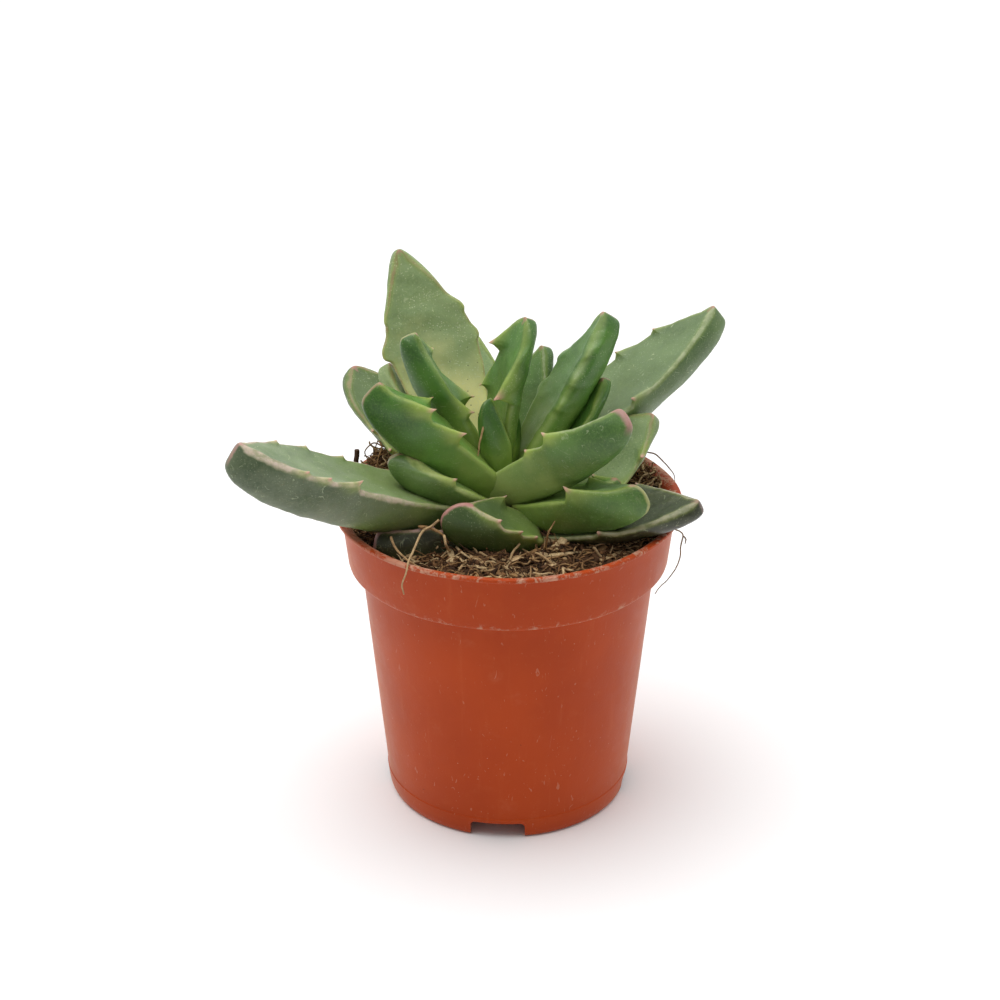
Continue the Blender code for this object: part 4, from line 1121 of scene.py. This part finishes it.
def sight(px, py, depth):
    """The point seen at a pixel of the picture, at a depth behind or before the pot's axis."""
    focal = CAMERA_LENS / SENSOR * PICTURE
    pitch = radians(CAMERA_PITCH)
    across = (px - PICTURE / 2) / focal
    rise = (PICTURE / 2 - py) / focal
    ray_y = cos(pitch) + rise * sin(pitch)
    ray_z = -sin(pitch) + rise * cos(pitch)
    reach = (depth - CAMERA_PLACE[1]) / ray_y
    return (CAMERA_PLACE[0] + reach * across, depth, CAMERA_PLACE[2] + reach * ray_z)


def on_soil(px, py):
    """The point just over the soil that lies behind a pixel of the picture."""
    for step in range(SIGHT_STEPS):
        point = sight(px, py, SIGHT_NEAREST + SIGHT_STEP * step)
        reach = hypot(point[0], point[1])
        if reach < SOIL_RIM and point[2] < soil_height(point[0], point[1]) + LAID_LIFT:
            return point
    return sight(px, py, 0.0)


def strand_lines(lines):
    """Edges through the listed points, with the tone of every line."""
    points, edges, tones = [], [], []
    for tone, line in lines:
        first = len(points)
        points += [sight(*point) if len(point) == 3 else on_soil(*point) for point in line]
        edges += [(first + step, first + step + 1) for step in range(len(line) - 1)]
        tones += [tone] * len(line)
    mesh = bpy.data.meshes.new("lines")
    mesh.from_pydata(points, edges, [])
    mesh.attributes.new("tone", "FLOAT", "POINT").data.foreach_set("value", tones)
    return mesh


# Laid strands: tone from dark to pale, then (across, down, depth) of each point in the picture.
# A point with no depth lies on the soil behind that pixel
TAN_ROOTS = (
    (0.8, ((439, 520, -13.6), (432, 526, -13.8), (424, 530, -14.8), (419, 538, -17.6), (414, 549, -20.5),
           (409, 561, -22.3), (406, 573, -23.4), (402, 584, -23.5), (404, 594, -23.3))),
    (0.7, ((391, 537, -16.5), (396, 549, -18.0), (404, 557, -20.0), (415, 565, -21.6), (431, 573, -22.6))),
    (0.8, ((444, 536, -16.2), (446, 545, -17.6), (451, 553), (462, 560))),
    (0.9, ((455, 545), (462, 553), (474, 560), (490, 563))),
    (0.7, ((470, 569), (488, 571), (505, 566), (520, 568))),
    (0.7, ((486, 410, -3.6), (484, 424, -4.2), (481, 437, -4.8), (479, 447, -5.2), (478, 456, -5.4))),
    (0.75, ((590, 530), (606, 540), (621, 550))),
    (0.6, ((545, 550), (548, 534, -16.8), (552, 526, -16.2), (555, 521, -16.0))),
    (0.9, ((447, 562), (455, 557), (464, 562), (472, 570))),
    (0.7, ((458, 571), (468, 561), (479, 559), (487, 566))),
    (0.8, ((470, 556), (483, 563), (497, 560))),
    (0.6, ((500, 549), (515, 557), (531, 552))),
)
DARK_ROOTS = (
    (0.3, ((655, 528), (668, 527, -11.8), (679, 531, -11.0), (683, 536, -11.0), (681, 546, -11.0),
           (680, 558, -11.0), (677, 566, -11.0), (668, 579, -11.0), (660, 587, -11.0), (655, 594, -11.0))),
    (0.2, ((683, 536, -11.0), (686, 539, -11.2), (685, 544, -11.4))),
    (0.2, ((645, 449, 15.5), (647, 452, 15.5), (655, 454, 15.5), (663, 461, 15.5), (670, 469, 15.5),
           (674, 475, 15.5), (675, 482, 15.5))),
    (0.2, ((384, 447, 9.0), (375, 443, 9.0), (370, 445, 8.5), (365, 452, 8.0), (368, 459, 8.0),
           (374, 464, 8.0))),
    (0.5, ((379, 441, 9.5), (382, 447, 9.0), (379, 456, 8.5), (376, 468, 8.0))),
    (0.5, ((418, 526, -13.3), (426, 527, -13.5), (434, 530, -14.0), (443, 535, -15.4), (449, 541))),
    (0.6, ((420, 528, -13.4), (429, 528, -13.7), (438, 531, -14.5), (445, 538, -15.6), (450, 545))),
)
STICKS = (
    (0.2, ((357, 450, 6.0), (357, 456, 6.0), (356, 463, 6.0), (357, 480, 6.0), (358, 497, 6.0))),
)
STRAWS = (
    (0.9, ((543, 556), (560, 554), (580, 552))),
    (0.7, ((588, 552), (604, 549), (621, 545))),
    (1.0, ((621, 548), (636, 541), (651, 534))),
    (0.8, ((600, 560), (612, 556), (622, 551))),
    (0.9, ((433, 547), (436, 556))),
    (1.0, ((448, 538), (450, 550), (453, 562))),
    (0.8, ((386, 546), (393, 556))),
    (0.7, ((556, 563), (566, 558))),
    (0.5, ((419, 526, -13.2), (427, 527, -13.6))),
)


def make_loose_coir(surface):
    tan = fibre_finish("tan_fibre", (92, 64, 38), (158, 122, 80), (208, 180, 136))
    brown = fibre_finish("brown_fibre", (52, 34, 21), (92, 62, 38), (136, 98, 62))
    ground, heaps = ground_mesh(surface), ground_mesh(surface, True)
    fibres, dark_fibres, crumbs = fibre_tree(tan), fibre_tree(brown), crumb_tree(brown)
    strands, dark_strands = strand_tree(tan), strand_tree(brown)
    for name, base, kind, settings in (
            ("tan_fibres", ground, fibres,
             {"Density": 0.26, "Length": 6.5, "Thickness": 0.13, "Wander": 3.0, "Wander size": 2.4,
              "Points": 14, "Seed": 11}),
            ("long_tan_fibres", ground, fibres,
             {"Density": 0.17, "Length": 10.0, "Thickness": 0.19, "Wander": 6.0, "Wander size": 4.0,
              "Tilt": 0.25, "Points": 20, "Seed": 23}),
            ("looped_fibres", heaps, fibres,
             {"Density": 1.9, "Length": 8.0, "Thickness": 0.13, "Wander": 5.0, "Wander size": 2.8,
              "Tilt": 0.7, "Points": 20, "Seed": 29}),
            ("looped_brown_fibres", heaps, dark_fibres,
             {"Density": 0.4, "Length": 6.0, "Thickness": 0.1, "Wander": 3.5, "Wander size": 2.6,
              "Tilt": 0.8, "Points": 18, "Seed": 37}),
            ("brown_fibres", ground, dark_fibres,
             {"Density": 0.7, "Length": 5.0, "Thickness": 0.12, "Wander": 3.0, "Tilt": 0.6, "Seed": 31}),
            ("tan_flakes", ground, fibres,
             {"Density": 0.1, "Length": 3.6, "Thickness": 0.5, "Flatness": 0.22, "Wander": 0.9,
              "Tilt": 0.5, "Taper": 0.3, "Points": 6, "Sides": 6, "Seed": 47}),
            ("bark_chips", ground, fibres,
             {"Density": 0.06, "Length": 2.6, "Thickness": 0.8, "Flatness": 0.24, "Wander": 0.8,
              "Tilt": 0.6, "Taper": 0.15, "Points": 5, "Sides": 8, "Seed": 71}),
            ("coir_crumbs", ground, crumbs, {"Density": 1.0, "Size": 0.6, "Seed": 53}),
            ("heap_crumbs", heaps, crumbs, {"Density": 1.0, "Size": 0.6, "Seed": 59}),
            ("tan_roots", strand_lines(TAN_ROOTS), strands, {"Thickness": 0.18}),
            ("dark_roots", strand_lines(DARK_ROOTS), strands, {"Thickness": 0.15}),
            ("sticks", strand_lines(STICKS), dark_strands,
             {"Thickness": 0.5, "Taper": 0.1, "Sides": 10}),
            ("straws", strand_lines(STRAWS), strands,
             {"Thickness": 0.42, "Flatness": 0.3, "Taper": 0.2, "Sides": 8})):
        grown(name, base.copy(), kind, settings)


def dress_stems():
    """Dull brown bark on the short stems."""
    make = Finish("stem_bark", (84, 62, 36))
    rings = make.grain(0.8, 4.0, 0.6, 0.0, (1.0, 1.0, 3.0))
    make.coat(make.slide(rings, 0.35, 0.7), (134, 112, 64))
    material = make.done(0.75, rings, 0.2, 0.3)
    for name in ("stem_main", "stem_side"):
        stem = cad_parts[name]
        stem.data.materials.clear()
        stem.data.materials.append(material)


# Studio

def make_studio():
    scene = bpy.context.scene
    bpy.ops.mesh.primitive_circle_add(vertices=96, radius=4.0, fill_type="NGON")
    floor = bpy.context.object
    floor.name = "floor"
    paper = bpy.data.materials.new("white_table")
    paper.use_nodes = True
    feed(paper.node_tree, paper.node_tree.nodes["Principled BSDF"],
         {"Base Color": (0.95, 0.95, 0.95, 1), "Roughness": 0.8})
    floor.data.materials.append(paper)

    world = bpy.data.worlds.new("studio")
    scene.world = world
    world.use_nodes = True
    tree = world.node_tree
    direction = made(tree, "ShaderNodeTexCoord", out="Generated")
    depth = made(tree, "ShaderNodeSeparateXYZ", {0: direction}, 1)
    brightness = made(tree, "ShaderNodeMapRange", {0: depth, 1: -0.8, 2: 0.5, 3: 0.3, 4: 1.0},
                      interpolation_type="SMOOTHSTEP")
    feed(tree, tree.nodes["Background"], {"Color": (1, 1, 1, 1), "Strength": brightness})

    for name, place, size, power in (("key", (-0.2, -0.05, 1.0), 1.1, 7.6),
                                     ("fill", (0.8, 0.25, 0.5), 0.8, 0.8)):
        lamp = bpy.data.lights.new(name, "AREA")
        lamp.shape = "DISK"
        lamp.size = size
        lamp.energy = power
        light = link(bpy.data.objects.new(name, lamp))
        light.location = place
        light.rotation_euler = (Vector((0, 0, 0.05)) - Vector(place)).to_track_quat("-Z", "Y").to_euler()

    lens = bpy.data.cameras.new("camera")
    lens.lens = CAMERA_LENS
    lens.sensor_width = SENSOR
    lens.clip_start = 0.01
    camera = link(bpy.data.objects.new("camera", lens))
    camera.location = placed(CAMERA_PLACE)
    camera.rotation_euler = (radians(90 - CAMERA_PITCH), 0, 0)
    scene.camera = camera
    scene.view_settings.view_transform = "Standard"


make_studio()
pot = make_pot()
attach(pot, pot_plastic(), "pot", "pot")
soil_surface = soil_points()
attach(make_soil(soil_surface), coir_soil(), "soil", "soil")
dress_stems()
dress_leaves()
make_loose_coir(soil_surface)

bpy.context.view_layer.update()
